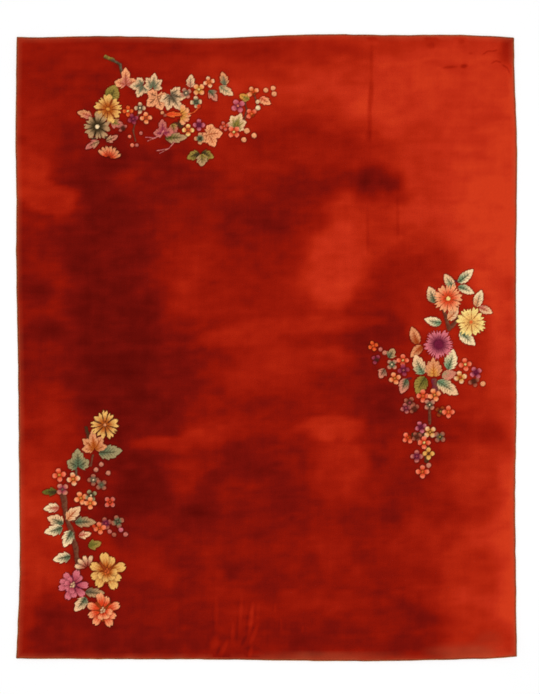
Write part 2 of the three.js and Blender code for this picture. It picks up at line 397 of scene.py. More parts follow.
mumForm = {
    "gap": 0.74,          # how far out the dark gaps between petals reach, share of the flower
    "sway": 0.2,
    "uneven": 0.07,
    "spread": 0.3,        # how much broader petals get outwards
    "streakWidth": 2.2,   # mm
}


# narrow petals with two-pointed tips, parted by dark gaps, round a small heart
def drawMum(bloom):
    reach = bloom["reach"]
    window = windowOf(bloom["x"], bloom["y"], reach)
    offX, offY = local(window, bloom["x"], bloom["y"], bloom["turn"])
    away, angle = np.hypot(offX, offY), np.arctan2(offY, offX)
    share = away / reach
    lay(window, reach * mumForm["gap"] - away, yarns[bloom["gap"]], carved=0.5)
    step = 2.0 * math.pi / bloom["petals"]
    angle = angle + mumForm["sway"] * step * np.sin(3.0 * angle + bloom["x"])
    petal = np.round(angle / step) % bloom["petals"]
    lean = np.abs((angle + step / 2) % step - step / 2) / (step / 2)
    points = bloom["notch"] * np.abs(2.0 * lean - 0.9) ** 1.3
    tip = reach * (1.0 - mumForm["uneven"] * np.sin(petal * 2.4) - points)
    side = (bloom["broad"] + mumForm["spread"] * np.clip(share, 0.0, 1.0) - lean) * step / 2 * away
    colour = between(bloom["heart"], bloom["rim"], smooth(share * 1.7 - 0.4))
    streak = smooth(1.3 - lean * step / 2 * away / mumForm["streakWidth"]) * smooth(2.6 - share * 3.2)
    colour = mixed(colour, yarns[bloom["heart"]], (streak * bloom["streak"])[..., None])
    lay(window, np.minimum(tip - away, side), colour, carved=0.9)
    lay(window, reach * bloom["eye"] - away, yarns[bloom["pip"]], carved=0.7, crown=0.6)


# Shares of the flower's reach, apart from the headings in degrees and the stamens in millimetres
peonyForm = {
    "gap": 0.6,
    "petal": 0.78,
    "foot": 0.22,
    "everySecond": 0.06,  # some petals are that much smaller
    "everyThird": 0.12,
    "sway": 8.0,
    "foldedLength": 0.44,
    "foldedWidth": 0.34,
    "foldedFoot": 0.1,
    "foldedStep": 48.0,
    "stamens": 5,
    "stamenWay": 7.0,
    "stamenFurther": 5.0,
    "stamenSize": 4.6,
}
upwards = 90.0


# broad notched petals with gaps between them, smaller ones folded over on one side, a few stamens
def drawPeony(bloom):
    x, y, reach = bloom["x"], bloom["y"], bloom["reach"]
    window = windowOf(x, y, reach)
    away = np.hypot(*local(window, x, y, 0.0))
    lay(window, reach * peonyForm["gap"] - away, yarns[bloom["gap"]], carved=0.3)
    for i in range(bloom["petals"]):
        size = reach * (1.0 - peonyForm["everyThird"] * (i % 3 == 1) - peonyForm["everySecond"] * (i % 2))
        heading = bloom["turn"] + i * 360.0 / bloom["petals"] + peonyForm["sway"] * math.sin(i * 2.3)
        length, width = size * peonyForm["petal"], size * bloom["broad"]
        drawPetal(bloom, length, width, heading, size * peonyForm["foot"], bloom["deep"])
    length, width = reach * peonyForm["foldedLength"], reach * peonyForm["foldedWidth"]
    for i in range(bloom["folded"]):
        heading = bloom["fold"] + peonyForm["foldedStep"] * (i - (bloom["folded"] - 1) / 2)
        drawPetal(bloom, length, width, heading, reach * peonyForm["foldedFoot"])
    for i in range(peonyForm["stamens"]):
        way = peonyForm["stamenWay"] + peonyForm["stamenFurther"] * (i % 2)
        stamenX, stamenY = wayFrom(x, y, way, bloom["turn"] + i * 360.0 / peonyForm["stamens"])
        drawBud(stamenX, stamenY, peonyForm["stamenSize"], upwards, yarns[bloom["pip"]])


budForm = {"shade": 0.74, "light": 0.55, "run": 1.7}


# a round berry or small petal, palest towards its heading
def drawBud(x, y, size, heading, rim, heart=None):
    heart = rim * budForm["shade"] if heart is None else heart
    window = windowOf(x, y, size)
    along, across = local(window, x, y, heading)
    light = smooth(budForm["light"] + along / (budForm["run"] * size))
    lay(window, size - np.hypot(along, across), mixed(heart, rim, light[..., None]), carved=0.7)


def drawDot(dot):
    drawBud(dot["x"], dot["y"], dot["size"], upwards, yarns[dot["yarn"]])


# Shares of the size of one petal
sprigForm = {"eye": 1.35, "petalWay": 1.6, "pip": 0.42}
quarterTurn = 90.0


# round petals about a dark eye and a pip. One with three petals leaves a gap
def drawSprig(sprig):
    x, y, size = sprig["x"], sprig["y"], sprig["size"]
    drawBud(x, y, size * sprigForm["eye"], upwards, yarns[sprig["eye"]])
    for i in range(sprig["petals"]):
        heading = sprig["turn"] + i * quarterTurn
        petalX, petalY = wayFrom(x, y, size * sprigForm["petalWay"], heading)
        drawBud(petalX, petalY, size, heading, yarns[sprig["rim"]], yarns[sprig["heart"]])
    drawBud(x, y, size * sprigForm["pip"], upwards, yarns[sprig["pip"]])


stemForm = {"knobs": 0.3, "knobCell": 18.0, "bark": 0.4, "barkCell": 9.0}


# a twig along a few points
def drawStem(stem):
    points, width = stem["points"], stem["width"]
    for (startX, startY), (endX, endY) in zip(points, points[1:]):
        length = math.hypot(endX - startX, endY - startY)
        heading = math.degrees(math.atan2(endY - startY, endX - startX))
        window = windowOf((startX + endX) / 2, (startY + endY) / 2, length)
        along, across = local(window, startX, startY, heading)
        past = np.maximum(np.maximum(-along, along - length), 0.0)
        knobs = 1.0 + stemForm["knobs"] * softNoise(along, across, stemForm["knobCell"], 7)
        flecks = stemForm["bark"] * softNoise(along, across, stemForm["barkCell"], 8)
        bark = between(stem["yarn"], stem["edge"], smooth(0.5 + across / width + flecks))
        lay(window, width / 2 * knobs - np.hypot(across, past), bark, carved=stem["carved"], crown=0.5)


fanForm = {"petal": 0.85, "foot": 0.15}


# half-open blooms: petals fanned about a heading from one foot
def drawFan(fan):
    reach = fan["reach"]
    for i in range(fan["petals"]):
        heading = fan["heading"] + fan["spread"] * (i / (fan["petals"] - 1) - 0.5)
        drawPetal(fan, reach * fanForm["petal"], reach * fan["broad"], heading, reach * fanForm["foot"])


# The sprays, in millimetres from the middle of the rug
stemColumns = "yarn edge width carved points"
stems = rowsOf(stemColumns, [
    ("pine", "olive", 20, 0.2, [(-785, 1422), (-750, 1405)]),
    ("pine", "slate", 15, 0.3, [(-750, 1405), (-714, 1384), (-708, 1345)]),
    ("brown", "bark", 9, 0.2, [(-620, 1150), (-640, 1110), (-650, 1060), (-640, 1010)]),
    ("brown", "bark", 10, 0.2, [(-108, 1215), (-95, 1160), (-110, 1110), (-150, 1085)]),
    ("brown", "bark", 9, 0.2, [(-60, 1240), (-45, 1190)]),
    ("pine", "slate", 9, 0.2, [(-850, 1020), (-815, 1035), (-770, 1022)]),
    ("brown", "bark", 20, 0.3, [(866, 190), (880, 140), (892, 92)]),
    ("brown", "bark", 20, 0.3, [(938, 140), (905, 105)]),
    ("plum", "brown", 14, 0.2, [(905, 330), (955, 320)]),
    ("brown", "bark", 15, 0.3, [(798, -300), (798, -372)]),
    ("plum", "bark", 30, 0.2, [(822, -160), (830, -205)]),
    ("plum", "brown", 12, 0.2, [(705, -150), (665, -160)]),
    ("brown", "pine", 22, 0.2, [(790, -490), (780, -555)]),
    ("brown", "pine", 26, 0.2, [(720, -425), (765, -425)]),
    ("brown", "bark", 28, 0.3, [(-1000, -690), (-985, -775), (-972, -830)]),
    ("brown", "bark", 24, 0.3, [(-972, -840), (-945, -920), (-928, -1000), (-918, -1090)]),
    ("brown", "bark", 9, 0.2, [(-945, -850), (-915, -820)]),
    ("brown", "bark", 12, 0.3, [(-848, -525), (-858, -575)]),
    ("pine", "slate", 13, 0.3, [(-930, -595), (-928, -630)]),
    ("brown", "pine", 18, 0.2, [(-880, -390), (-870, -440)]),
])

tendrils = rowsOf(stemColumns, [
    ("lilac", "blush", 5, 0.2, [(-502, 1060), (-515, 1038), (-545, 1024), (-590, 1028)]),
    ("lilac", "blush", 5, 0.2, [(-545, 1024), (-580, 1010)]),
    ("lilac", "blush", 5, 0.2, [(-448, 1005), (-478, 972), (-520, 950)]),
    ("lilac", "blush", 5, 0.2, [(-478, 972), (-535, 962)]),
    ("coral", "orange", 7, 0.3, [(-380, 1140), (-350, 1152), (-332, 1172)]),
])

leaves = rowsOf("x y length width heading teeth heart rim vein", [
    # upper left
    (-748, 1242, 88, 74, 60, 8, "moss", "olive", "pine"),
    (-888, 1143, 76, 40, 158, 3, "rose", "peach", "rust"),
    (-730, 1092, 66, 46, 335, 2, "olive", "rose", "moss"),
    (-852, 995, 78, 36, 200, 2, "fawn", "rose", "brown"),
    (-752, 1020, 66, 32, 18, 2, "fawn", "blush", "brown"),
    (-372, 1303, 66, 42, 95, 3, "blush", "cream", "slate"),
    (-205, 1315, 70, 42, 95, 3, "teal", "peach", "slate"),
    (-198, 1252, 80, 44, 318, 3, "fawn", "cream", "teal"),
    (-258, 1234, 66, 44, 315, 2, "teal", "blush", "pine"),
    (-107, 1225, 54, 42, 150, 2, "olive", "gold", "moss"),
    (-5, 1205, 62, 40, 330, 3, "salmon", "apricot", "rust"),
    (-430, 1090, 66, 38, 190, 2, "pine", "brown", "pine"),
    (-452, 1068, 56, 44, 290, 3, "olive", "rose", "brown"),
    (-440, 1024, 108, 50, 0, 3, "moss", "fawn", "pine"),
    (-448, 1139, 92, 26, 0, 2, "coral", "orange", "coral"),
    (-358, 940, 66, 46, 196, 3, "pine", "olive", "pine"),
    (-286, 942, 66, 46, 346, 3, "pine", "olive", "pine"),
    (-312, 916, 62, 54, 276, 3, "olive", "fawn", "pine"),
    # right
    (890, 325, 82, 46, 130, 6, "jade", "cream", "pine"),
    (978, 346, 96, 48, 32, 6, "jade", "ivory", "pine"),
    (978, 286, 86, 42, 345, 6, "jade", "ivory", "pine"),
    (806, 258, 86, 54, 120, 6, "teal", "cream", "pine"),
    (1036, 242, 88, 48, 78, 6, "peach", "ivory", "slate"),
    (1072, 182, 72, 40, 332, 6, "rose", "cream", "rust"),
    (916, 163, 78, 46, 40, 6, "peach", "cream", "rust"),
    (813, 125, 86, 46, 176, 6, "jade", "ivory", "pine"),
    (980, 42, 100, 56, 310, 6, "jade", "ivory", "pine"),
    (722, 58, 92, 50, 118, 6, "rust", "peach", "rust"),
    (730, -15, 80, 44, 215, 6, "rust", "peach", "rust"),
    (741, -86, 104, 64, 122, 4, "jade", "cream", "pine"),
    (907, -60, 104, 64, 66, 4, "jade", "ivory", "pine"),
    (668, -186, 78, 52, 240, 6, "teal", "blush", "pine"),
    (750, -180, 92, 68, 232, 6, "moss", "olive", "pine"),
    (888, -194, 122, 64, 330, 4, "jade", "cream", "pine"),
    (893, -130, 76, 48, 20, 6, "sage", "blush", "rose"),
    (612, -28, 54, 44, 60, 2, "teal", "fawn", "pine"),
    (564, -125, 54, 42, 235, 2, "slate", "blush", "brown"),
    # lower left
    (-762, -515, 116, 70, 356, 4, "teal", "sage", "pine"),
    (-1058, -702, 78, 36, 178, 2, "pine", "moss", "pine"),
    (-1050, -780, 78, 46, 176, 3, "rose", "ivory", "rust"),
    (-1028, -840, 84, 58, 150, 3, "teal", "cream", "pine"),
    (-945, -806, 92, 54, 52, 3, "peach", "cream", "rust"),
    (-884, -848, 104, 52, 8, 3, "teal", "fawn", "pine"),
    (-1038, -896, 92, 54, 205, 3, "teal", "ivory", "pine"),
    (-974, -932, 88, 56, 238, 3, "teal", "ivory", "pine"),
    (-1000, -1026, 90, 50, 190, 3, "teal", "ivory", "pine"),
    (-886, -914, 64, 36, 10, 2, "rose", "cream", "rust"),
    (-838, -962, 68, 46, 15, 2, "moss", "olive", "moss"),
    (-838, -1200, 96, 46, 350, 3, "slate", "fawn", "pine"),
    (-904, -1256, 88, 54, 240, 3, "teal", "cream", "pine"),
])

lobedLeaves = rowsOf("x y reach lobes spread heading breadth stalk heart rim vein", [
    (-686, 1312, 58, 3, 150, 92, 0.38, 0.45, "rose", "apricot", "rust"),
    (-622, 1268, 50, 4, 190, 215, 0.38, 0.4, "slate", "cream", "teal"),
    (-551, 1297, 46, 5, 190, 82, 0.36, 0.45, "teal", "cream", "slate"),
    (-538, 1204, 56, 4, 200, 255, 0.44, 0.4, "peach", "apricot", "brown"),
    (-448, 1206, 58, 5, 200, 305, 0.36, 0.5, "slate", "cream", "pine"),
    (-261, 1032, 54, 4, 210, 330, 0.46, 0.4, "peach", "apricot", "rust"),
    (-140, 1104, 46, 5, 200, 68, 0.4, 0.4, "moss", "cream", "olive"),
    (-505, 1066, 52, 3, 170, 95, 0.4, 0.35, "mauve", "rose", "plum"),
    (817, -104, 58, 5, 70, 92, 0.36, 0.6, "gold", "peach", "rust"),
    (-844, -462, 60, 5, 175, 98, 0.32, 0.5, "amber", "peach", "rust"),
    (-920, -550, 58, 3, 130, 92, 0.5, 0.5, "teal", "sage", "pine"),
])

sprigs = rowsOf("x y turn size heart rim eye pip petals", [
    # upper left
    (-676, 1156, 0, 10.5, "coral", "orange", "rust", "straw"),
    (-617, 1171, 0, 11, "slate", "cream", "pine", "ivory"),
    (-588, 1122, 5, 11.5, "orange", "apricot", "brown", "coral"),
    (-651, 1117, 20, 10.5, "plum", "mauve", "plum", "mauve"),
    (-700, 1072, 40, 9, "brown", "rose", "brown", "brown", 3),
    (-392, 1244, 30, 11, "slate", "blush", "slate", "ivory"),
    (-382, 1063, 0, 11.5, "orange", "straw", "brown", "coral"),
    (-329, 1261, 45, 12.5, "gold", "apricot", "rust", "straw"),
    (-280, 1298, 15, 11, "orange", "cream", "rust", "orange"),
    (-343, 1200, 5, 11.5, "teal", "cream", "pine", "slate"),
    (-329, 1088, 0, 11.5, "plum", "lilac", "plum", "plum"),
    (-324, 1022, 0, 11.5, "teal", "peach", "pine", "pine"),
    (-138, 1181, 30, 13.5, "mauve", "lilac", "plum", "salmon"),
    (-64, 1248, 30, 11.5, "orange", "apricot", "rust", "coral", 3),
    (-72, 1142, 40, 11.5, "coral", "salmon", "rust", "orange", 3),
    (-158, 1054, 45, 12.5, "coral", "salmon", "rust", "straw"),
    (-205, 1082, 20, 9.5, "coral", "rose", "rust", "rose"),
    # right
    (522, 8, 20, 10, "coral", "orange", "rust", "orange"),
    (538, -58, 60, 10, "plum", "mauve", "brown", "brown", 3),
    (614, -82, 45, 11, "teal", "blush", "pine", "ivory"),
    (667, -62, 0, 12, "coral", "salmon", "rust", "straw"),
    (671, -110, 10, 11.5, "plum", "mauve", "plum", "rose"),
    (628, -150, 20, 12, "orange", "apricot", "rust", "gold"),
    (972, -82, 10, 12.5, "coral", "salmon", "rust", "straw"),
    (948, -145, 15, 12.5, "gold", "cream", "rust", "coral"),
    (1024, -122, 30, 12, "plum", "lilac", "plum", "plum"),
    (1014, -164, 200, 11, "brown", "russet", "brown", "brown", 3),
    (765, -236, 0, 12.5, "coral", "salmon", "rust", "orange"),
    (822, -231, 20, 12.5, "orange", "apricot", "brown", "gold"),
    (798, -279, 40, 11.5, "slate", "blush", "pine", "ivory"),
    (700, -268, 60, 11.5, "brown", "russet", "brown", "mauve"),
    (682, -296, 15, 10.5, "plum", "rose", "brown", "mauve"),
    (724, -300, 40, 10.5, "brown", "russet", "brown", "brown", 3),
    (852, -312, 60, 11, "brown", "rust", "brown", "olive"),
    (890, -314, 0, 12, "coral", "salmon", "rust", "orange"),
    (755, -388, 20, 11.5, "plum", "lilac", "plum", "plum"),
    (800, -412, 40, 12.5, "gold", "cream", "brown", "gold"),
    (692, -441, 125, 11.5, "coral", "salmon", "rust", "coral", 3),
    (735, -436, 30, 10, "brown", "russet", "brown", "brown"),
    (771, -464, 0, 12.5, "coral", "salmon", "rust", "straw"),
    (848, -436, 50, 12, "slate", "russet", "pine", "olive"),
    (735, -531, 0, 12, "plum", "rose", "plum", "mauve"),
    (793, -517, 0, 11.5, "gold", "honey", "brown", "brown"),
    (763, -606, 0, 13, "coral", "salmon", "rust", "orange"),
    # lower left
    (-1012, -622, 10, 13, "coral", "salmon", "rust", "gold"),
    (-943, -642, 10, 13, "orange", "cream", "rust", "gold"),
    (-996, -692, 40, 12.5, "mauve", "blush", "plum", "slate"),
    (-845, -646, 0, 11.5, "slate", "russet", "slate", "ivory"),
    (-806, -670, 40, 11.5, "slate", "russet", "slate", "teal"),
    (-906, -735, 20, 13, "orange", "apricot", "rust", "gold"),
    (-856, -722, 30, 11.5, "pine", "sage", "pine", "ivory"),
    (-860, -760, 0, 12, "orange", "apricot", "rust", "gold"),
    (-764, -754, 45, 12, "coral", "rose", "brown", "coral"),
    (-784, -858, 20, 12, "plum", "russet", "plum", "mauve"),
    (-814, -882, 10, 12, "orange", "salmon", "rust", "coral"),
    (-726, -850, 20, 12.5, "teal", "russet", "pine", "slate"),
], petals=4)

dots = rowsOf("x y size yarn", [
    (-668, 1032, 9, "salmon"),
    (-612, 1048, 9, "rose"),
    (-655, 990, 10, "salmon"),
    (-632, 990, 9, "rose"),
    (-508, 1148, 9, "peach"),
    (-495, 1134, 8, "russet"),
    (-2, 1258, 12, "apricot"),
    (33, 1268, 12, "apricot"),
    (38, 1240, 13, "apricot"),
    (-42, 1202, 10, "cream"),
    (-40, 1172, 12, "ivory"),
    (-95, 1060, 14, "apricot"),
    (-60, 1036, 13, "apricot"),
    (-110, 1016, 13, "apricot"),
    (-329, 1178, 10, "coral"),
    (558, -8, 10.5, "rose"),
    (578, -25, 11, "blush"),
    (1058, -176, 13, "apricot"),
    (793, -575, 13, "blush"),
    (-806, -570, 12, "blush"),
    (-832, -596, 12, "blush"),
    (-772, -612, 12, "blush"),
    (-710, -890, 12, "lilac"),
    (-687, -912, 12, "rose"),
    (-766, -898, 11, "rose"),
    (-744, -914, 11, "russet"),
    (-842, -872, 9, "coral"),
])

mums = rowsOf("x y reach petals broad notch turn heart rim gap streak eye pip", [
    (-773, 1166, 70, 9, 0.62, 0.22, 8, "amber", "honey", "rust", 0.6, 0.12, "gold"),
    (-826, 1080, 66, 8, 0.58, 0.22, 0, "pine", "fawn", "pine", 0.6, 0.15, "ivory"),
    (889, 240, 72, 12, 0.7, 0.24, 5, "coral", "apricot", "rust", 0.6, 0.13, "straw"),
    (1000, 125, 72, 11, 0.7, 0.22, 0, "honey", "straw", "amber", 0.5, 0.12, "orange"),
    (842, 17, 72, 14, 0.7, 0.24, 9, "plum", "lilac", "plum", 0.6, 0.28, "plum"),
    (-789, -378, 70, 9, 0.6, 0.26, 12, "amber", "honey", "brown", 0.5, 0.1, "peach"),
])

peonies = rowsOf("x y reach petals broad turn folded fold deep heart rim gap pip", [
    (-778, -1094, 98, 8, 0.48, 18, 4, 285, 0.15, "amber", "honey", "rust", "orange"),
    (-945, -1160, 80, 9, 0.44, 0, 4, 190, 0.2, "mauve", "lilac", "plum", "cream"),
    (-798, -1284, 90, 8, 0.46, 20, 3, 300, 0.42, "coral", "apricot", "rust", "cream"),
])

fans = rowsOf("x y reach petals spread broad heading heart rim", [
    (-772, 922, 68, 7, 120, 0.27, 78, "coral", "peach"),
    (-420, 1138, 54, 5, 140, 0.5, 0, "gold", "apricot"),
    (-872, -1078, 68, 4, 96, 0.34, 122, "russet", "cream"),
])


def drawSprays():
    for draw, motifs in (
        (drawStem, stems),
        (drawLeaf, leaves),
        (drawLobed, lobedLeaves),
        (drawSprig, sprigs),
        (drawDot, dots),
        (drawFan, fans),
        (drawMum, mums),
        (drawPeony, peonies),
        (drawStem, tendrils),
    ):
        for motif in motifs:
            draw(motif)


drawSprays()
print("sprays laid,", int((chart["cover"] > 0.5).sum()), "flower knots")

# Lie of the nap: soft patches of lighter and darker pile, cm from the middle, each over the ones before.
# The patches are painted light and shade of the pile's lie, over real unevenness of the dye.
# Tone 0 is the deepest red and 1 the brightest. Soft is the share of its size over which a patch fades.
# The drift makes their outlines uneven, in millimetres.
nap = {
    "tone": 0.42,
    "driftX": rowsOf(noiseColumns, [(45, 260, 1, 1), (26, 90, 1, 2), (10, 40, 1, 5)]),
    "driftY": rowsOf(noiseColumns, [(35, 260, 1, 3), (20, 90, 1, 4), (8, 40, 1, 6)]),
    "cloud": 0.065,
    "cloudNoise": rowsOf(noiseColumns, [(1.0, 150, 1.5, 11), (0.8, 80, 1.8, 12), (0.8, 44, 1.8, 13)]),
    "edgeGlow": 0.16,
}
napPatches = rowsOf("x y wide high tone soft turn", [
    # broad fields
    (-91, 123, 37, 34, 0.41, 0.7),
    (-85, 126, 10, 10, 0.3),
    (-70, 86, 44, 20, 0.24, 0.6),
    (-96, 43, 37, 64, 0.28, 0.5),
    (-74, 30, 25, 60, 0.16, 0.55),
    (-60, -12, 36, 22, 0.1, 0.7, 8),
    (0, -20, 44, 24, 0.38, 0.7),
    (31, -26, 34, 39, 0.38, 0.7),
    (-57, -67, 34, 24, 0.12, 0.7),
    (-80, -36, 22, 13, 0.18),
    (-6, -101, 64, 29, 0.33, 0.6),
    (16, 126, 59, 24, 0.62, 0.7),
    (41, 126, 27, 27, 0.78, 0.7),
    (92, 106, 44, 59, 0.86, 0.3),
    (78, 70, 24, 24, 0.78, 0.6),
    (109, 60, 21, 39, 1, 0.6),
    (110, 9, 18, 34, 0.9, 0.6),
    (112, -28, 18, 20, 0.74, 0.7),
    (105, -104, 23, 56, 0.74, 0.5),
    (85, -84, 15, 29, 0.54),
    (119, -104, 9, 54, 0.96, 0.8, -4),
    # along the top
    (-15, 147, 46, 6, 0.42, 0.7),
    (-45, 145, 24, 2, 0.34, 0.9),
    (31, 146, 22, 4, 0.56),
    (21, 128, 34, 3, 0.8, 0.8, 2),
    (45, 114, 13, 10, 0.9, 0.6),
    (21, 119, 10, 5, 0.62),
    (58, 133, 6, 15, 0.94, 0.7),
    (92, 138, 11, 2, 0.78),
    (79, 150, 22, 4, 0.7),
    (76, 98, 13, 12, 0.72, 0.7),
    (118, 147, 4, 7, 0.54, 0.6),
    # dusky arch
    (10, 100, 34, 12, 0.4, 0.6, 4),
    (-14, 91, 16, 7, 0.47, 0.8, 4),
    (21, 80, 25, 8, 0.27, 0.6, 4),
    (-2, 64, 24, 12, 0.23, 0.6, 12),
    (55, 80, 11, 11, 0.22, 0.6, -10),
    # bright oval below it
    (32, 41, 18, 27, 0.6, 0.25, -20),
    (35, 44, 15, 25, 0.84, 0.35, -20),
    (41, 70, 9, 9, 0.68, 0.6, -20),
    (16, 55, 6, 10, 0.34, 0.8, -30),
    (58, 58, 7, 16, 0.66, 0.6),
    (49, 46, 6, 14, 0.78, 0.7),
    # right of the middle
    (78, 36, 15, 15, 0.48, 0.6),
    (57, 9, 17, 13, 0.26, 0.6),
    (99, 10, 9, 28, 0.54, 0.7),
    # left of the middle
    (-108, 75, 18, 9, 0.64, 0.22),
    (-116, 84, 9, 13, 0.64, 0.3),
    (-90, 71, 5, 5, 0.34),
    (-110, 57, 11, 5, 0.18, 0.8, -10),
    (-106, 31, 7, 18, 0.35, 0.8, 12),
    (-114, 27, 5, 8, 0.18),
    (-111, 5, 11, 5, 0.14, 0.8, 6),
    (-111, -14, 13, 11, 0.32),
    (-106, -34, 15, 11, 0.5, 0.7),
    (-113, -84, 12, 44, 0.66, 0.5),
    (-119, -108, 5, 30, 0.76),
    (-104, -102, 13, 18, 0.62, 0.7),
    (-94, -98, 7, 18, 0.35, 0.6),
    (-115, -42, 9, 5, 0.4),
    (-70, 24, 20, 22, 0.1, 0.7),
    (-58, 34, 7, 13, 0.28, 0.8, -20),
    (-75, 44, 12, 9, 0.26),
    (-26, 60, 14, 7, 0.28),
    (-38, 32, 14, 16, 0.5),
    (-6, 40, 22, 10, 0.38),
    (-8, 21, 21, 7, 0.46),
    (-43, 16, 8, 5, 0.31),
    # light bands across the middle and what lies between them
    (4, 9, 46, 5, 0.6, 0.4, 7),
    (-12, 7, 12, 6, 0.62),
    (0, -10, 15, 11, 0.58, 0.7),
    (29, -6, 11, 5, 0.62, 0.7),
    (30, -11, 7, 4, 0.54, 0.7),
    (29, -20, 6, 3, 0.3, 0.7),
    (-46, -10, 12, 18, 0.22),
    (52, -23, 11, 22, 0.26),
    (-28, -44, 38, 4, 0.58, 0.4, 7),
    (-44, -49, 10, 3, 0.46, 0.8, 4),
    (8, -37, 14, 4, 0.31, 0.8, 4),
    (-15, -31, 22, 4, 0.27, 0.8, 4),
    (33, -42, 16, 5, 0.74, 0.3, 2),
    (-4, -57, 24, 12, 0.22, 0.7, 4),
    (-38, -62, 9, 8, 0.46, 0.9),
    (38, -58, 12, 14, 0.58),
    (18, -53, 9, 9, 0.27),
    (10, -75, 16, 9, 0.2),
    (-67, -75, 14, 11, 0.1),
    (-78, -66, 7, 7, 0.3),
    (-36, -81, 10, 6, 0.1, 0.9),
    (50, -52, 5, 12, 0.3),
    (42, -81, 9, 5, 0.33),
    (82, -36, 12, 14, 0.32, 0.7),
    (99, -26, 10, 12, 0.54),
    (106, -44, 13, 6, 0.48),
    (78, -64, 10, 12, 0.38),
    (60, -79, 7, 6, 0.22, 0.9),
    (86, -77, 8, 6, 0.4),
    (119, -72, 7, 12, 0.98),
    (101, -74, 11, 5, 0.56),
    (106, -106, 12, 7, 0.6, 0.7),
    # lower field
    (-62, -92, 14, 13, 0.3, 0.7),
    (-38, -108, 7, 18, 0.27),
    (-27, -118, 9, 9, 0.46),
    # darker foot with a rounded right end
    (4, -138, 76, 21, 0.33, 0.35),
    (-93, -137, 31, 18, 0.22, 0.5),
    (54, -134, 25, 18, 0.32, 0.2),
    (43, -143, 20, 7, 0.36),
    (9, -128, 34, 5, 0.46, 0.9),
    (-57, -143, 20, 6, 0.2),
    (-24, -147, 14, 4, 0.27),
    (42, -151, 22, 3, 0.46),
    (104, -141, 14, 10, 0.62),
    (-121, -134, 4, 20, 0.44),
    # smaller spots over all of it
    (56, 96, 9, 5, 0.56),
    (-112, 108, 9, 16, 0.52),
    (27, 63, 6, 5, 0.36),
    (-62, 86, 10, 5, 0.34),
    (-27, -54, 8, 5, 0.42),
    (50, -43, 6, 6, 0.3),
    (68, -70, 10, 8, 0.3),
    (-68, -92, 8, 7, 0.2),
    (33, -101, 9, 9, 0.52),
    (51, -113, 6, 6, 0.3),
    (75, -112, 8, 6, 0.46),
    (108, -114, 7, 6, 0.62),
    (-44, -142, 7, 8, 0.34),
    (-114, -31, 6, 5, 0.34),
    (-114, 62, 8, 5, 0.34),
    (-68, 51, 6, 5, 0.3),
    (97, -66, 7, 5, 0.7),
    (74, 20, 7, 10, 0.54),
    (44, 44, 6, 8, 0.86),
], soft=0.8, turn=0.0)


# tone of the field: painted light and shade of the nap's lie over real unevenness of the dye
def napShadeAndTone(x, y):
    cm = 10.0
    driftX, driftY = x + layeredNoise(x, y, nap["driftX"]), y + layeredNoise(x, y, nap["driftY"])
    tone = np.full(x.shape, nap["tone"])
    for patch in napPatches:
        across, up = turned(driftX - patch["x"] * cm, driftY - patch["y"] * cm, patch["turn"])
        away = np.hypot(across / (patch["wide"] * cm), up / (patch["high"] * cm))
        share = smooth((1.0 + patch["soft"] - away) / (2.0 * patch["soft"]))
        tone = mixed(tone, patch["tone"], share)
    return tone + nap["cloud"] * layeredNoise(x, y, nap["cloudNoise"])


# Wear: pile rubbed down to a dull pinkish brown along the rim and in a few places. Millimetres
wear = {"rim": 0.4, "border": 0.12, "reach": 1.5, "cell": 60.0, "patchy": 0.4, "rimPatchy": 0.5}
wornPlaces = rowsOf("x y wide high share", [
    (980, -1486, 170, 36, 0.26),
    (1090, -1440, 60, 50, 0.12),
    (320, -1506, 320, 18, 0.2),
])


def wearOf(x, y):
    share = np.zeros(x.shape)
    for place in wornPlaces:
        away = np.hypot((x - place["x"]) / place["wide"], (y - place["y"]) / place["high"])
        share = np.maximum(share, place["share"] * smooth(wear["reach"] - away))
    return share * (1.0 + wear["patchy"] * softNoise(x, y, wear["cell"], 51))
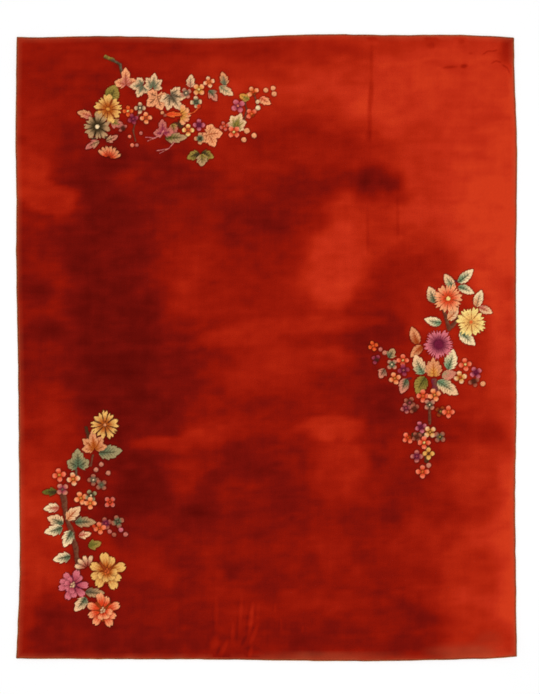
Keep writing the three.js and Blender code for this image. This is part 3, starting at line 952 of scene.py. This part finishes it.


# Ruffles stand up in the pile, old fold lines and cracks are pressed in. Millimetres.
# Tone paints light and shade on them: a painted highlight along a ruffle with painted shade on one flank,
# and painted shade in fold lines and cracks.
foldForm = {"reach": 1.5, "slope": 0.8, "toneReach": 1.4, "flank": 1.2, "flankShade": 0.3}
pileFolds = rowsOf("x y length width heading height tone", [
    # ruffles near the lower edge
    (-245, -1300, 150, 24, 90, 1.6, 0.08),
    (-124, -1285, 130, 20, 87, 1.4, 0.1),
    (-75, -1328, 150, 24, 84, 2.0, 0.2),
    (-60, -1400, 110, 24, 68, 1.8, 0.13),
    (-205, -1465, 80, 24, 66, 1.6, 0.13),
    (-40, -1290, 90, 20, 86, 0.8, 0.07),
    (-165, -1396, 90, 20, 86, 0.8, 0.1),
    (-253, -1440, 70, 40, 70, 0.8, 0.13),
    (-76, -1484, 60, 22, 76, 0.8, 0.13),
    (42, -1272, 50, 14, 88, 0.6, 0.08),
    (72, -1355, 70, 12, 90, 0.5, 0.07),
    (177, -1375, 40, 12, 84, 0.5, 0.07),
    (-143, -1379, 110, 16, 88, -0.6, -0.1),
    (-109, -1430, 70, 18, 62, -0.6, -0.12),
    (-236, -1480, 50, 16, 70, -0.5, -0.1),
    # fold lines in the upper right
    (514, 1400, 170, 18, 89, -0.5, -0.1),
    (512, 1240, 150, 26, 88, -1.1, -0.2),
    (505, 1120, 210, 24, 92, -1.0, -0.15),
    (498, 1036, 60, 30, 95, -0.6, -0.12),
    (495, 570, 250, 18, 91, -0.5, -0.09),
    (642, 630, 200, 18, 91, -0.8, -0.1),
    # cracks and dents near the corner
    (1070, 1441, 34, 9, 34, -0.5, -0.22),
    (1094, 1449, 30, 9, 0, -0.5, -0.22),
    (1117, 1451, 28, 9, 10, -0.5, -0.2),
    (1112, 1396, 30, 9, 28, -0.5, -0.2),
    (1134, 1398, 30, 9, -20, -0.5, -0.22),
    (1166, 1374, 36, 9, -32, -0.5, -0.22),
    (1184, 1353, 36, 9, -66, -0.5, -0.2),
    (998, 1438, 22, 14, 0, -0.4, -0.14),
    (966, 1376, 36, 22, 10, -0.5, -0.3),
    (897, 1371, 74, 14, 4, -0.4, -0.18),
    (806, 1476, 44, 34, 0, -0.3, -0.14),
    (954, 1496, 34, 28, 0, -0.3, -0.14),
])


def foldsWithPaintedLight(x, y):
    height, tone = np.zeros(x.shape), np.zeros(x.shape)
    for fold in pileFolds:
        along, across = turned(x - fold["x"], y - fold["y"], fold["heading"])
        along, across = along / (fold["length"] / 2), across / (fold["width"] / 2)
        height += fold["height"] * smooth(foldForm["reach"] - np.hypot(along, across * foldForm["slope"]))
        # painted highlight along a ruffle, painted shade along a pressed line and on a ruffle's flank
        core = smooth(foldForm["toneReach"] - np.hypot(along, across))
        flank = smooth(foldForm["toneReach"] - np.hypot(along, across - foldForm["flank"]))
        flank = flank * (fold["height"] > 0.0)
        tone += fold["tone"] * (core - foldForm["flankShade"] * flank)
    return height, tone


# height of the face above the floor, mm
def faceHeight(x, y, crown, shadedGroove):
    swell = layeredNoise(x, y, rug["swellNoise"])
    knots = chance.uniform(-1, 1, x.shape)
    height = rug["pileTop"] + rug["swell"] * swell + rug["roughness"] * knots
    return height + foldsWithPaintedLight(x, y)[0] + crown - rug["carveDepth"] * shadedGroove


# the knots of a broad cell with those on its border
def cellAt(row, column):
    size = rug["knotsPerCell"]
    return np.s_[row * size:(row + 1) * size + 1, column * size:(column + 1) * size + 1]


# what lies on the rim of a grid, anticlockwise from the lower left corner
def rimOf(grid, step=1):
    return np.concatenate((
        grid[0, :-1:step],
        grid[:-1:step, -1],
        grid[-1, :0:-step],
        grid[:0:-step, 0],
    ))


# Which broad cells are split to single knots: those that hold flower yarn, a clipped line or a fold
def splitCells():
    marked = (chart["cover"] > rug["splitCover"]) | (chart["shadedGroove"] > rug["splitCover"])
    marked |= np.abs(foldsWithPaintedLight(chart["x"], chart["y"])[0]) > rug["splitFold"]
    split = np.zeros((rug["rows"], rug["columns"]), bool)
    for row, column in np.ndindex(split.shape):
        split[row, column] = marked[cellAt(row, column)].any()
    return split


# the face: quads of one knot in split cells, elsewhere one broad cell with every point on its border
def faceOfPile():
    size = rug["knotsPerCell"]
    split = splitCells()
    wanted = np.zeros(chart["x"].shape, bool)
    wanted[::size, ::size] = True
    for row, column in zip(*np.nonzero(split)):
        wanted[cellAt(row, column)] = True
    number = np.full(wanted.shape, -1)
    number[wanted] = np.arange(wanted.sum())
    faces = []
    for row, column in np.ndindex(split.shape):
        block = number[cellAt(row, column)]
        if split[row, column]:
            quads = np.stack((block[:-1, :-1], block[:-1, 1:], block[1:, 1:], block[1:, :-1]), -1)
            faces += quads.reshape(-1, 4).tolist()
        else:
            border = rimOf(block)
            faces.append(border[border >= 0].tolist())
    return wanted, number, faces


# points of a ring round the rug at an inset, in the order of the face's rim
def ringAt(inset):
    halfWidth, halfLength = rug["width"] / 2 - inset, rug["length"] / 2 - inset
    across = np.linspace(-halfWidth, halfWidth, rug["columns"] + 1)
    along = np.linspace(-halfLength, halfLength, rug["rows"] + 1)
    x, y = np.meshgrid(across, along)
    return strayed(rimOf(x), rimOf(y))


def addAttribute(mesh, name, values, kind="FLOAT"):
    field = "color" if kind == "FLOAT_COLOR" else "value"
    attribute = mesh.attributes.new(name, kind, "POINT")
    attribute.data.foreach_set(field, np.asarray(values, np.float32).ravel())


def newPiece(name, points, faces, materials):
    mesh = bpy.data.meshes.new(name)
    mesh.from_pydata((np.asarray(points) * mm).tolist(), [], faces)
    for material in materials:
        mesh.materials.append(material)
    piece = bpy.data.objects.new(name, mesh)
    bpy.context.scene.collection.objects.link(piece)
    mesh.polygons.foreach_set("use_smooth", np.ones(len(mesh.polygons), bool))
    return piece


# Node helpers
def opaque(colour):
    return (*colour, 1.0)


def setInputs(node, values):
    for name, value in values.items():
        node.inputs[name].default_value = value


def newMaterial(name, values):
    material = bpy.data.materials.new(name)
    material.use_nodes = True
    tree = material.node_tree
    shader = tree.nodes["Principled BSDF"]
    setInputs(shader, values)
    return material, tree, shader


def addNode(tree, kind, **settings):
    node = tree.nodes.new(kind)
    for key, value in settings.items():
        setattr(node, key, value)
    return node


def put(tree, value, socket):
    if hasattr(value, "is_output"):
        tree.links.new(value, socket)
    else:
        socket.default_value = value


def sums(tree, operation, *values):
    node = addNode(tree, "ShaderNodeMath", operation=operation)
    for value, socket in zip(values, node.inputs):
        put(tree, value, socket)
    return node.outputs[0]


# a mix of colours, which the node takes in sockets 6 and 7 and gives out in 2
def blended(tree, share, first, second, blend="MIX"):
    node = addNode(tree, "ShaderNodeMix", data_type="RGBA", blend_type=blend)
    put(tree, share, node.inputs[0])
    put(tree, first, node.inputs[6])
    put(tree, second, node.inputs[7])
    return node.outputs[2]


# a texture laid on the piece's own coordinates
def textureOf(tree, kind, stretch, values, **settings):
    place = addNode(tree, "ShaderNodeTexCoord")
    mapping = addNode(tree, "ShaderNodeMapping")
    mapping.inputs["Scale"].default_value = stretch
    tree.links.new(place.outputs["Object"], mapping.inputs["Vector"])
    texture = addNode(tree, kind, **settings)
    setInputs(texture, values)
    tree.links.new(mapping.outputs["Vector"], texture.inputs["Vector"])
    return texture


def noiseOf(tree, stretch, detail=2.0):
    return textureOf(tree, "ShaderNodeTexNoise", stretch, {"Scale": 1.0, "Detail": detail}).outputs["Fac"]


def addBump(tree, shader, height, strength, depth):
    bump = addNode(tree, "ShaderNodeBump")
    setInputs(bump, {"Strength": strength, "Distance": depth})
    tree.links.new(height, bump.inputs["Height"])
    tree.links.new(bump.outputs["Normal"], shader.inputs["Normal"])


# adds a share of a field from 0 to 1, the middle of which changes nothing
def swayed(tree, tone, field, share):
    return sums(tree, "ADD", tone, sums(tree, "MULTIPLY", sums(tree, "SUBTRACT", field, 0.5), share))


def read(tree, name, colour=False):
    node = addNode(tree, "ShaderNodeAttribute", attribute_name=name)
    return node.outputs["Color" if colour else "Fac"]


evenly = (1.0, 1.0, 1.0)

# Pile wool: reds of the field by the lie of the nap, partly painted light and shade, flower yarns over
# them, painted shade in clipped lines and between knots
wool = {
    "reds": [
        (0.00, dye(92, 8, 4)),
        (0.12, dye(105, 12, 6)),
        (0.25, dye(123, 16, 8)),
        (0.40, dye(148, 21, 6)),
        (0.55, dye(165, 28, 9)),
        (0.70, dye(182, 37, 13)),
        (0.85, dye(198, 46, 21)),
        (1.00, dye(214, 58, 26)),
    ],
    "worn": dye(178, 88, 56),
    # painted shade: the near black red that clipped lines and tuft feet are darkened towards
    "clipped": (0.02, 0.003, 0.001),
    "roughness": 0.9,
    "shine": 0.02,
    "sheen": 0.12,
    "sheenRoughness": 0.45,
    "sheenTint": dye(226, 60, 24),
    # clouds, streaks across and streaks along in the tone of the field
    "grain": rowsOf("stretch detail share", [
        ((13.0, 21.0, 20.0), 4.0, 0.18),
        ((4.0, 36.0, 30.0), 3.0, 0.11),
        ((36.0, 5.0, 30.0), 3.0, 0.1),
    ]),
    "knotSize": 0.0034,   # metres
    "knotSpread": 0.6,
    "knotTone": 0.03,     # unevenness from knot to knot in the field
    "speckle": 0.3,       # the same in flower yarns
    "bump": 0.7,
    "bumpDepth": 0.0015,
    "bumpKnots": 0.8,
    "fuzz": (160.0, 220.0, 160.0),
    "carveShade": 0.5,
    # painted shade in the gaps between knots
    "pitShade": 0.5,      # how much darker the gaps between knots are
    "pitMiddle": 0.42,    # where a knot is neither lightened nor darkened
}


def woolMaterial():
    material, tree, shader = newMaterial("woolPile", {
        "Roughness": wool["roughness"],
        "Sheen Weight": wool["sheen"],
        "Sheen Roughness": wool["sheenRoughness"],
        "Sheen Tint": opaque(wool["sheenTint"]),
        "Specular IOR Level": wool["shine"],
    })
    knotValues = {"Scale": 1.0 / wool["knotSize"], "Randomness": wool["knotSpread"]}
    knots = textureOf(tree, "ShaderNodeTexVoronoi", evenly, knotValues, voronoi_dimensions="2D")
    distance = knots.outputs["Distance"]
    perKnot = addNode(tree, "ShaderNodeSeparateColor")
    tree.links.new(knots.outputs["Color"], perKnot.inputs[0])
    tone = read(tree, "napShadeAndTone")
    for grain in wool["grain"]:
        tone = swayed(tree, tone, noiseOf(tree, grain["stretch"], grain["detail"]), grain["share"])
    tone = swayed(tree, tone, perKnot.outputs[0], wool["knotTone"])
    ramp = addNode(tree, "ShaderNodeValToRGB")
    elements, reds = ramp.color_ramp.elements, wool["reds"]
    for at, _ in reds[1:-1]:
        elements.new(at)
    for element, (at, red) in zip(elements, reds):
        element.position = at
        element.color = opaque(red)
    tree.links.new(tone, ramp.inputs[0])
    field = blended(tree, read(tree, "worn"), ramp.outputs[0], opaque(wool["worn"]))
    speckle = sums(tree, "MULTIPLY_ADD", perKnot.outputs[1], wool["speckle"], 1.0 - wool["speckle"] / 2)
    yarn = blended(tree, 1.0, read(tree, "yarnColour", True), speckle, "MULTIPLY")
    colour = blended(tree, read(tree, "yarnCover"), field, yarn)
    # painted shade in clipped lines and at the feet of the rim tufts
    shade = sums(tree, "MULTIPLY", read(tree, "carved"), wool["carveShade"])
    colour = blended(tree, shade, colour, opaque(wool["clipped"]))
    # painted shade: the gaps between knots darkened in the base colour
    pitBase = 1.0 + wool["pitMiddle"] * wool["pitShade"]
    paintedPitShade = sums(tree, "MULTIPLY_ADD", distance, -wool["pitShade"], pitBase)
    tree.links.new(blended(tree, 1.0, colour, paintedPitShade, "MULTIPLY"), shader.inputs["Base Color"])
    height = sums(tree, "MULTIPLY_ADD", distance, -wool["bumpKnots"], noiseOf(tree, wool["fuzz"]))
    addBump(tree, shader, height, wool["bump"], wool["bumpDepth"])
    return material


pileWool = woolMaterial()

# Woven back: rows of knot backs, duller than the face
weaveBack = {
    "red": dye(140, 34, 20),
    "cotton": dye(196, 170, 140),
    "knot": 0.0034,       # metres
    "waveLength": 0.314,  # of a wave texture at scale 1
    "uneven": 0.6,
    "blotch": (12.0, 60.0, 12.0),
    "bump": 0.6,
    "bumpDepth": 0.001,
    "roughness": 0.9,
    "edgeRows": 4,        # the lowest rows of the edge's faces are of it too
}


def backMaterial():
    material, tree, shader = newMaterial("wovenBack", {"Roughness": weaveBack["roughness"]})
    scale = weaveBack["waveLength"] / weaveBack["knot"]
    rowValues = {"Scale": scale, "Distortion": weaveBack["uneven"]}
    rows = textureOf(tree, "ShaderNodeTexWave", evenly, rowValues, bands_direction="Y")
    columns = textureOf(tree, "ShaderNodeTexWave", evenly, {"Scale": scale / 2}, bands_direction="X")
    grid = sums(tree, "MULTIPLY", rows.outputs["Fac"], columns.outputs["Fac"])
    red = opaque(weaveBack["red"])
    colour = blended(tree, grid, opaque(weaveBack["cotton"]), red)
    colour = blended(tree, noiseOf(tree, weaveBack["blotch"]), colour, red)
    tree.links.new(colour, shader.inputs["Base Color"])
    addBump(tree, shader, grid, weaveBack["bump"], weaveBack["bumpDepth"])
    return material


# The map for baking: most of it for the face, four strips for the edge, the rest for the underside.
# Shares of the map, apart from the spare room round the rug in millimetres.
bakeRoom = {"margin": 0.004, "faceTop": 0.8, "stripTop": 0.86, "stripMargin": 0.1, "spare": 40.0}


def addBakeMap(mesh, points, faceCount, edgeFaces, around):
    vertices = np.zeros(len(mesh.loops), np.int32)
    mesh.loops.foreach_get("vertex_index", vertices)
    sizes = np.zeros(len(mesh.polygons), np.int32)
    mesh.polygons.foreach_get("loop_total", sizes)
    ends = np.cumsum(sizes)
    edgeStart, edgeEnd = ends[faceCount - 1], ends[edgeFaces - 1]
    margin = bakeRoom["margin"]
    across = points[vertices, 1] / (rug["length"] + bakeRoom["spare"]) + 0.5
    up = points[vertices, 0] / (rug["width"] + bakeRoom["spare"]) + 0.5
    low, high = np.full(len(vertices), margin), np.full(len(vertices), bakeRoom["faceTop"])
    low[edgeEnd:] = bakeRoom["stripTop"]
    high[edgeEnd:] = 1.0 - margin
    places = np.stack((mixed(margin, 1.0 - margin, across), mixed(low, high, up)), -1)
    segment = np.arange(around)
    starts = np.cumsum((0, rug["columns"], rug["rows"], rug["columns"]))
    side = np.searchsorted(starts, segment, "right") - 1
    run = (segment - starts[side])[:, None] + np.array((0, 0, 1, 1))
    rings = len(edgeSection) - 1
    ring = (np.arange(rings)[:, None] + np.array((0, 1, 1, 0))) / rings
    stripHigh = (bakeRoom["stripTop"] - bakeRoom["faceTop"]) / len(starts)
    ring = mixed(bakeRoom["stripMargin"], 1.0 - bakeRoom["stripMargin"], ring)
    strip = bakeRoom["faceTop"] + stripHigh * (side[None, :, None] + ring[:, None, :])
    run = mixed(margin, 1.0 - margin, run / rug["rows"])
    places[edgeStart:edgeEnd, 0] = np.broadcast_to(run, strip.shape).ravel()
    places[edgeStart:edgeEnd, 1] = strip.ravel()
    mesh.uv_layers.new(name="OFBake").data.foreach_set("uv", places.astype(np.float32).ravel())


# strips across the underside, with one many-sided face at either end. Takes the lowest ring
def undersideOf(ring):
    columns, rows = rug["columns"], rug["rows"]
    bottom = ring[:columns + 1]
    top = ring[columns + rows:2 * columns + rows + 1][::-1]
    rightSide = ring[columns:columns + rows + 1]
    leftSide = np.append(ring[2 * columns + rows:], ring[0])[::-1]
    faces = [[bottom[i], top[i], top[i + 1], bottom[i + 1]] for i in range(1, columns - 1)]
    faces.append([*leftSide, top[1], bottom[1]])
    faces.append([bottom[columns - 1], top[columns - 1], *rightSide[::-1]])
    return faces


# tone with the painted light and shade of nap and folds, wear and yarns of each point. Only points of the
# face carry flowers
def paintRug(mesh, points, wanted, loop):
    x, y = points[:, 0], points[:, 1]
    faceCount = int(wanted.sum())
    spare = np.zeros(len(points) - faceCount)
    tone = napShadeAndTone(x, y) + foldsWithPaintedLight(x, y)[1]
    tone[faceCount:] += nap["edgeGlow"]
    tone[loop] += nap["edgeGlow"] / 2
    worn = wearOf(x, y)
    patchy = 1.0 + wear["rimPatchy"] * softNoise(x, y, wear["cell"], 52)
    worn[faceCount:] += wear["rim"] * patchy[faceCount:]
    worn[loop] += wear["border"] * patchy[loop]
    colour = np.ones((len(points), 4))
    colour[:faceCount, :3] = chart["colour"][wanted]
    addAttribute(mesh, "worn", worn)
    addAttribute(mesh, "napShadeAndTone", tone)
    addAttribute(mesh, "yarnCover", np.concatenate((chart["cover"][wanted], spare)))
    addAttribute(mesh, "carved", np.concatenate((chart["shadedGroove"][wanted], spare)))
    addAttribute(mesh, "yarnColour", colour, "FLOAT_COLOR")


# The whole rug as one closed mesh: face, rounded edge, flat woven underside
def makeRug():
    wanted, number, faces = faceOfPile()
    faceCount = len(faces)
    x, y = chart["x"][wanted], chart["y"][wanted]
    points = [np.stack((x, y, faceHeight(x, y, chart["crown"][wanted], chart["shadedGroove"][wanted])), -1)]
    loop = rimOf(number, rug["knotsPerCell"])
    around, total = len(loop), len(x)
    previous = loop
    for row in edgeSection[1:]:
        points.append(np.stack((*ringAt(row["inset"]), np.full(around, row["height"])), -1))
        ring = total + np.arange(around)
        total += around
        faces += np.stack((previous, ring, np.roll(ring, -1), np.roll(previous, -1)), -1).tolist()
        previous = ring
    edgeFaces = len(faces)
    faces += undersideOf(previous)
    points = np.concatenate(points)
    plainFaces = [list(map(int, face)) for face in faces]
    piece = newPiece("rugPile", points, plainFaces, [pileWool, backMaterial()])
    mesh = piece.data
    slots = np.zeros(len(faces), np.int32)
    slots[edgeFaces - weaveBack["edgeRows"] * around:] = 1
    mesh.polygons.foreach_set("material_index", slots)
    mesh.polygons.foreach_set("use_smooth", np.arange(len(faces)) < edgeFaces)
    paintRug(mesh, points, wanted, loop)
    addBakeMap(mesh, points, faceCount, edgeFaces, around)
    mesh.validate()
    return piece


rugPile = makeRug()
rugPile.data.calc_loop_triangles()
print("rug mesh:", len(rugPile.data.polygons), "faces,", len(rugPile.data.loop_triangles), "triangles")

# Overcast edge: yarn wrapped round the outer cord on all four sides. Millimetres
overcast = {
    "pitch": 5.8,
    "cordInset": 3.1,
    "cordHeight": 3.2,
    "cordRadius": 2.9,
    "yarnRadius": 1.1,
    "yarnUneven": 0.15,
    "halfWrap": 0.52,     # half the width of a wrap, in pitches
    "loose": 0.35,
    "floorGap": 0.05,
    "sides": 5,
    "steps": 8,
    "fromAngle": -80.0,   # degrees in the section, 0 is straight out and 90 is up
    "toAngle": 150.0,
    "dark": dye(138, 74, 34),
    "light": dye(216, 146, 80),
    "tone": 0.45,
    "toneDrift": 0.25,
    "toneCell": 90.0,
    "toneSpread": 0.2,    # from wrap to wrap
    "fleck": 0.5,
    "flecks": (500.0, 500.0, 500.0),
    "fuzz": (900.0, 900.0, 900.0),
    "bump": 0.5,
    "bumpDepth": 0.0006,
    "roughness": 0.85,
    "sheen": 0.1,
}


# evenly spaced places round the rug with their directions, anticlockwise
def walkRound(pitch, inset):
    step, lookOut = 4.0, 6.0  # mm between points of the walk, and to the points that give its direction
    halfWidth, halfLength = rug["width"] / 2 - inset, rug["length"] / 2 - inset
    across = np.arange(-halfWidth, halfWidth, step)
    along = np.arange(-halfLength, halfLength, step)
    beside, above = np.full(len(along), halfWidth), np.full(len(across), halfLength)
    x = np.concatenate((across, beside, -across, -beside))
    y = np.concatenate((-above, along, above, -along))
    x, y = strayed(x, y)
    run = np.hypot(np.roll(x, -1) - x, np.roll(y, -1) - y)
    distance = np.concatenate(((0.0,), np.cumsum(run)))
    count = int(distance[-1] / pitch)
    places = (np.arange(count) + 0.5) * distance[-1] / count
    closedX, closedY = np.append(x, x[0]), np.append(y, y[0])

    def at(where):
        where = where % distance[-1]
        return np.interp(where, distance, closedX), np.interp(where, distance, closedY)

    ahead, behind = at(places + lookOut), at(places - lookOut)
    wayX, wayY = ahead[0] - behind[0], ahead[1] - behind[1]
    length = np.hypot(wayX, wayY)
    return *at(places), wayX / length, wayY / length


def overcastMaterial():
    values = {"Roughness": overcast["roughness"], "Sheen Weight": overcast["sheen"]}
    material, tree, shader = newMaterial("overcastYarn", values)
    tone = swayed(tree, read(tree, "wrapTone"), noiseOf(tree, overcast["flecks"]), overcast["fleck"])
    colour = blended(tree, tone, opaque(overcast["dark"]), opaque(overcast["light"]))
    tree.links.new(colour, shader.inputs["Base Color"])
    addBump(tree, shader, noiseOf(tree, overcast["fuzz"]), overcast["bump"], overcast["bumpDepth"])
    return material


# arrays run over the wraps, then the steps along a wrap, then the sides of its yarn
def makeOvercast():
    x, y, wayX, wayY = walkRound(overcast["pitch"], overcast["cordInset"])
    count, steps, yarnSides = len(x), overcast["steps"], overcast["sides"]
    angle = np.radians(np.linspace(overcast["fromAngle"], overcast["toAngle"], steps))[:, None]
    ring = np.arange(yarnSides) * 2.0 * math.pi / yarnSides
    lean = np.linspace(-0.5, 0.5, steps)[:, None] * overcast["pitch"]
    loose = chance.uniform(-overcast["loose"], overcast["loose"], count)
    uneven = chance.uniform(1.0 - overcast["yarnUneven"], 1.0 + overcast["yarnUneven"], count)
    radius = overcast["cordRadius"] + (overcast["yarnRadius"] * uneven)[:, None, None] * np.sin(ring)
    sideways = lean + overcast["halfWrap"] * overcast["pitch"] * np.cos(ring) + loose[:, None, None]
    outward = radius * np.cos(angle)
    height = np.maximum(overcast["cordHeight"] + radius * np.sin(angle), overcast["floorGap"])
    points = np.stack((
        x[:, None, None] + wayY[:, None, None] * outward + wayX[:, None, None] * sideways,
        y[:, None, None] - wayX[:, None, None] * outward + wayY[:, None, None] * sideways,
        height,
    ), -1)
    number = np.arange(count * steps * yarnSides).reshape(count, steps, yarnSides)
    following = np.roll(number, -1, 2)
    quads = np.stack((number[:, :-1], number[:, 1:], following[:, 1:], following[:, :-1]), -1)
    faces = quads.reshape(-1, 4).tolist()
    faces += number[:, 0].tolist()
    faces += number[:, -1, ::-1].tolist()
    piece = newPiece("edgeOvercast", points.reshape(-1, 3), faces, [overcastMaterial()])
    tone = overcast["tone"] + overcast["toneDrift"] * softNoise(x, y, overcast["toneCell"], 31)
    tone = tone + chance.uniform(-overcast["toneSpread"], overcast["toneSpread"], count)
    addAttribute(piece.data, "wrapTone", np.repeat(tone, steps * yarnSides))
    return piece


edgeOvercast = makeOvercast()
print("overcast edge:", len(edgeOvercast.data.polygons), "faces")

# Loose yarn ends along the rim of the pile, four-sided. Millimetres
tufts = {
    "pitch": 3.6,
    "rows": rowsOf("inset top", [(6.4, 11.0), (8.4, 12.4), (10.8, 13.2)]),
    "foot": 4.6,
    "width": 3.0,
    "cornerWay": 0.7,     # from the middle of a yarn end to its corners, in widths
    "taper": 0.7,
    "uneven": 0.7,        # up and down
    "lean": 1.1,          # sideways
    # painted shade darkening the feet of the yarn ends
    "footShade": 0.6,
    "toneSpread": 0.08,
}


def makeTufts():
    corner = np.radians(np.array((45.0, 135.0, 225.0, 315.0)))
    pointsEach = 2 * len(corner)
    points, tones = [], []
    for row in tufts["rows"]:
        x, y, wayX, wayY = walkRound(tufts["pitch"], row["inset"])
        count = len(x)
        tone = napShadeAndTone(x, y) + nap["edgeGlow"]
        tone = tone + chance.uniform(-tufts["toneSpread"], tufts["toneSpread"], count)
        tones.append(np.repeat(tone, pointsEach))
        turn = np.arctan2(wayY, wayX)[:, None] + corner
        ends = []
        for height, width, lean in ((tufts["foot"], tufts["width"], 0.0),
                                    (row["top"], tufts["width"] * tufts["taper"], tufts["lean"])):
            offX, offY = chance.uniform(-1, 1, (2, count)) * lean
            lift = chance.uniform(-1, 1, count) * tufts["uneven"] * (lean > 0.0)
            ends.append(np.stack((
                (x + offX)[:, None] + width * tufts["cornerWay"] * np.cos(turn),
                (y + offY)[:, None] + width * tufts["cornerWay"] * np.sin(turn),
                np.repeat((height + lift)[:, None], len(corner), 1),
            ), -1))
        points.append(np.concatenate(ends, 1))
    points = np.concatenate(points).reshape(-1, 3)
    number = np.arange(len(points)).reshape(-1, pointsEach)
    quads = [(0, 1, 5, 4), (1, 2, 6, 5), (2, 3, 7, 6), (3, 0, 4, 7), (4, 5, 6, 7), (3, 2, 1, 0)]
    faces = number[:, quads].reshape(-1, 4).tolist()
    piece = newPiece("rimTufts", points, faces, [pileWool])
    # painted shade at the feet, passed on in the attribute that darkens clipped lines
    shade = np.tile(np.repeat((tufts["footShade"], 0.0), len(corner)), len(number))
    addAttribute(piece.data, "napShadeAndTone", np.concatenate(tones))
    addAttribute(piece.data, "carved", shade)
    addAttribute(piece.data, "worn", np.full(len(points), wear["rim"]))
    return piece


rimTufts = makeTufts()
print("rim tufts:", len(rimTufts.data.polygons), "faces")

# The floor, the light and the camera
studio = {
    "floorSize": 120.0,   # metres, as the other sizes here
    "floorDrop": 0.0004,
    "floorTones": (0.68, 0.7),
    "floorCloud": (3.0, 3.0, 3.0),
    "floorGlow": 0.3,
    "floorRoughness": 0.8,
    "floorShine": 0.1,
    "skyStrength": 0.74,
    "lampHeight": 4.5,
    "lampPower": 96.0,
    "lampSize": 5.0,
    "pixelSize": 4.885 * mm,
    "photoSize": (540, 694),
    "photoMiddle": (266.3, 347.7),   # where the middle of the rug lies in the photo
    "lens": 60.0,
    "sensor": 36.0,
    "farthest": 100.0,
}
white = (1.0, 1.0, 1.0, 1.0)


def floorMaterial():
    material, tree, shader = newMaterial("paleFloor", {
        "Emission Color": white,
        "Emission Strength": studio["floorGlow"],
        "Roughness": studio["floorRoughness"],
        "Specular IOR Level": studio["floorShine"],
    })
    darker, paler = [opaque((tone, tone, tone)) for tone in studio["floorTones"]]
    colour = blended(tree, noiseOf(tree, studio["floorCloud"]), darker, paler)
    tree.links.new(colour, shader.inputs["Base Color"])
    return material


def addHolder(name, data, location):
    holder = bpy.data.objects.new(name, data)
    holder.location = location
    bpy.context.scene.collection.objects.link(holder)
    return holder


def makeStudio():
    half = studio["floorSize"] / 2 / mm
    floor = newPiece("floor", [(-half, -half, 0), (half, -half, 0), (half, half, 0), (-half, half, 0)],
                     [(0, 1, 2, 3)], [floorMaterial()])
    floor.location.z = -studio["floorDrop"]
    world = bpy.data.worlds.new("studioSky")
    world.use_nodes = True
    setInputs(world.node_tree.nodes["Background"], {"Color": white, "Strength": studio["skyStrength"]})
    bpy.context.scene.world = world
    lamp = bpy.data.lights.new("softBox", "AREA")
    lamp.shape = "SQUARE"
    lamp.size = studio["lampSize"]
    lamp.energy = studio["lampPower"]
    addHolder("softBox", lamp, (0.0, 0.0, studio["lampHeight"]))


# straight above, so far off that one pixel of the photo is as wide as the studio says
def makeCamera():
    wide, high = studio["photoSize"]
    middleX, middleY = studio["photoMiddle"]
    camera = bpy.data.cameras.new("photoCamera")
    camera.lens = studio["lens"]
    camera.sensor_width = studio["sensor"]
    camera.clip_end = studio["farthest"]
    distance = high * studio["pixelSize"] * studio["lens"] / studio["sensor"]
    offX = (wide / 2 - middleX) * studio["pixelSize"]
    offY = (middleY - high / 2) * studio["pixelSize"]
    place = (offX, offY, rug["pileTop"] * mm + distance)
    bpy.context.scene.camera = addHolder("photoCamera", camera, place)


makeStudio()
makeCamera()
bpy.context.scene.view_settings.view_transform = "Standard"
print("studio ready")

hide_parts("rug")
for piece in (rugPile, edgeOvercast, rimTufts):
    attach(piece, "root")
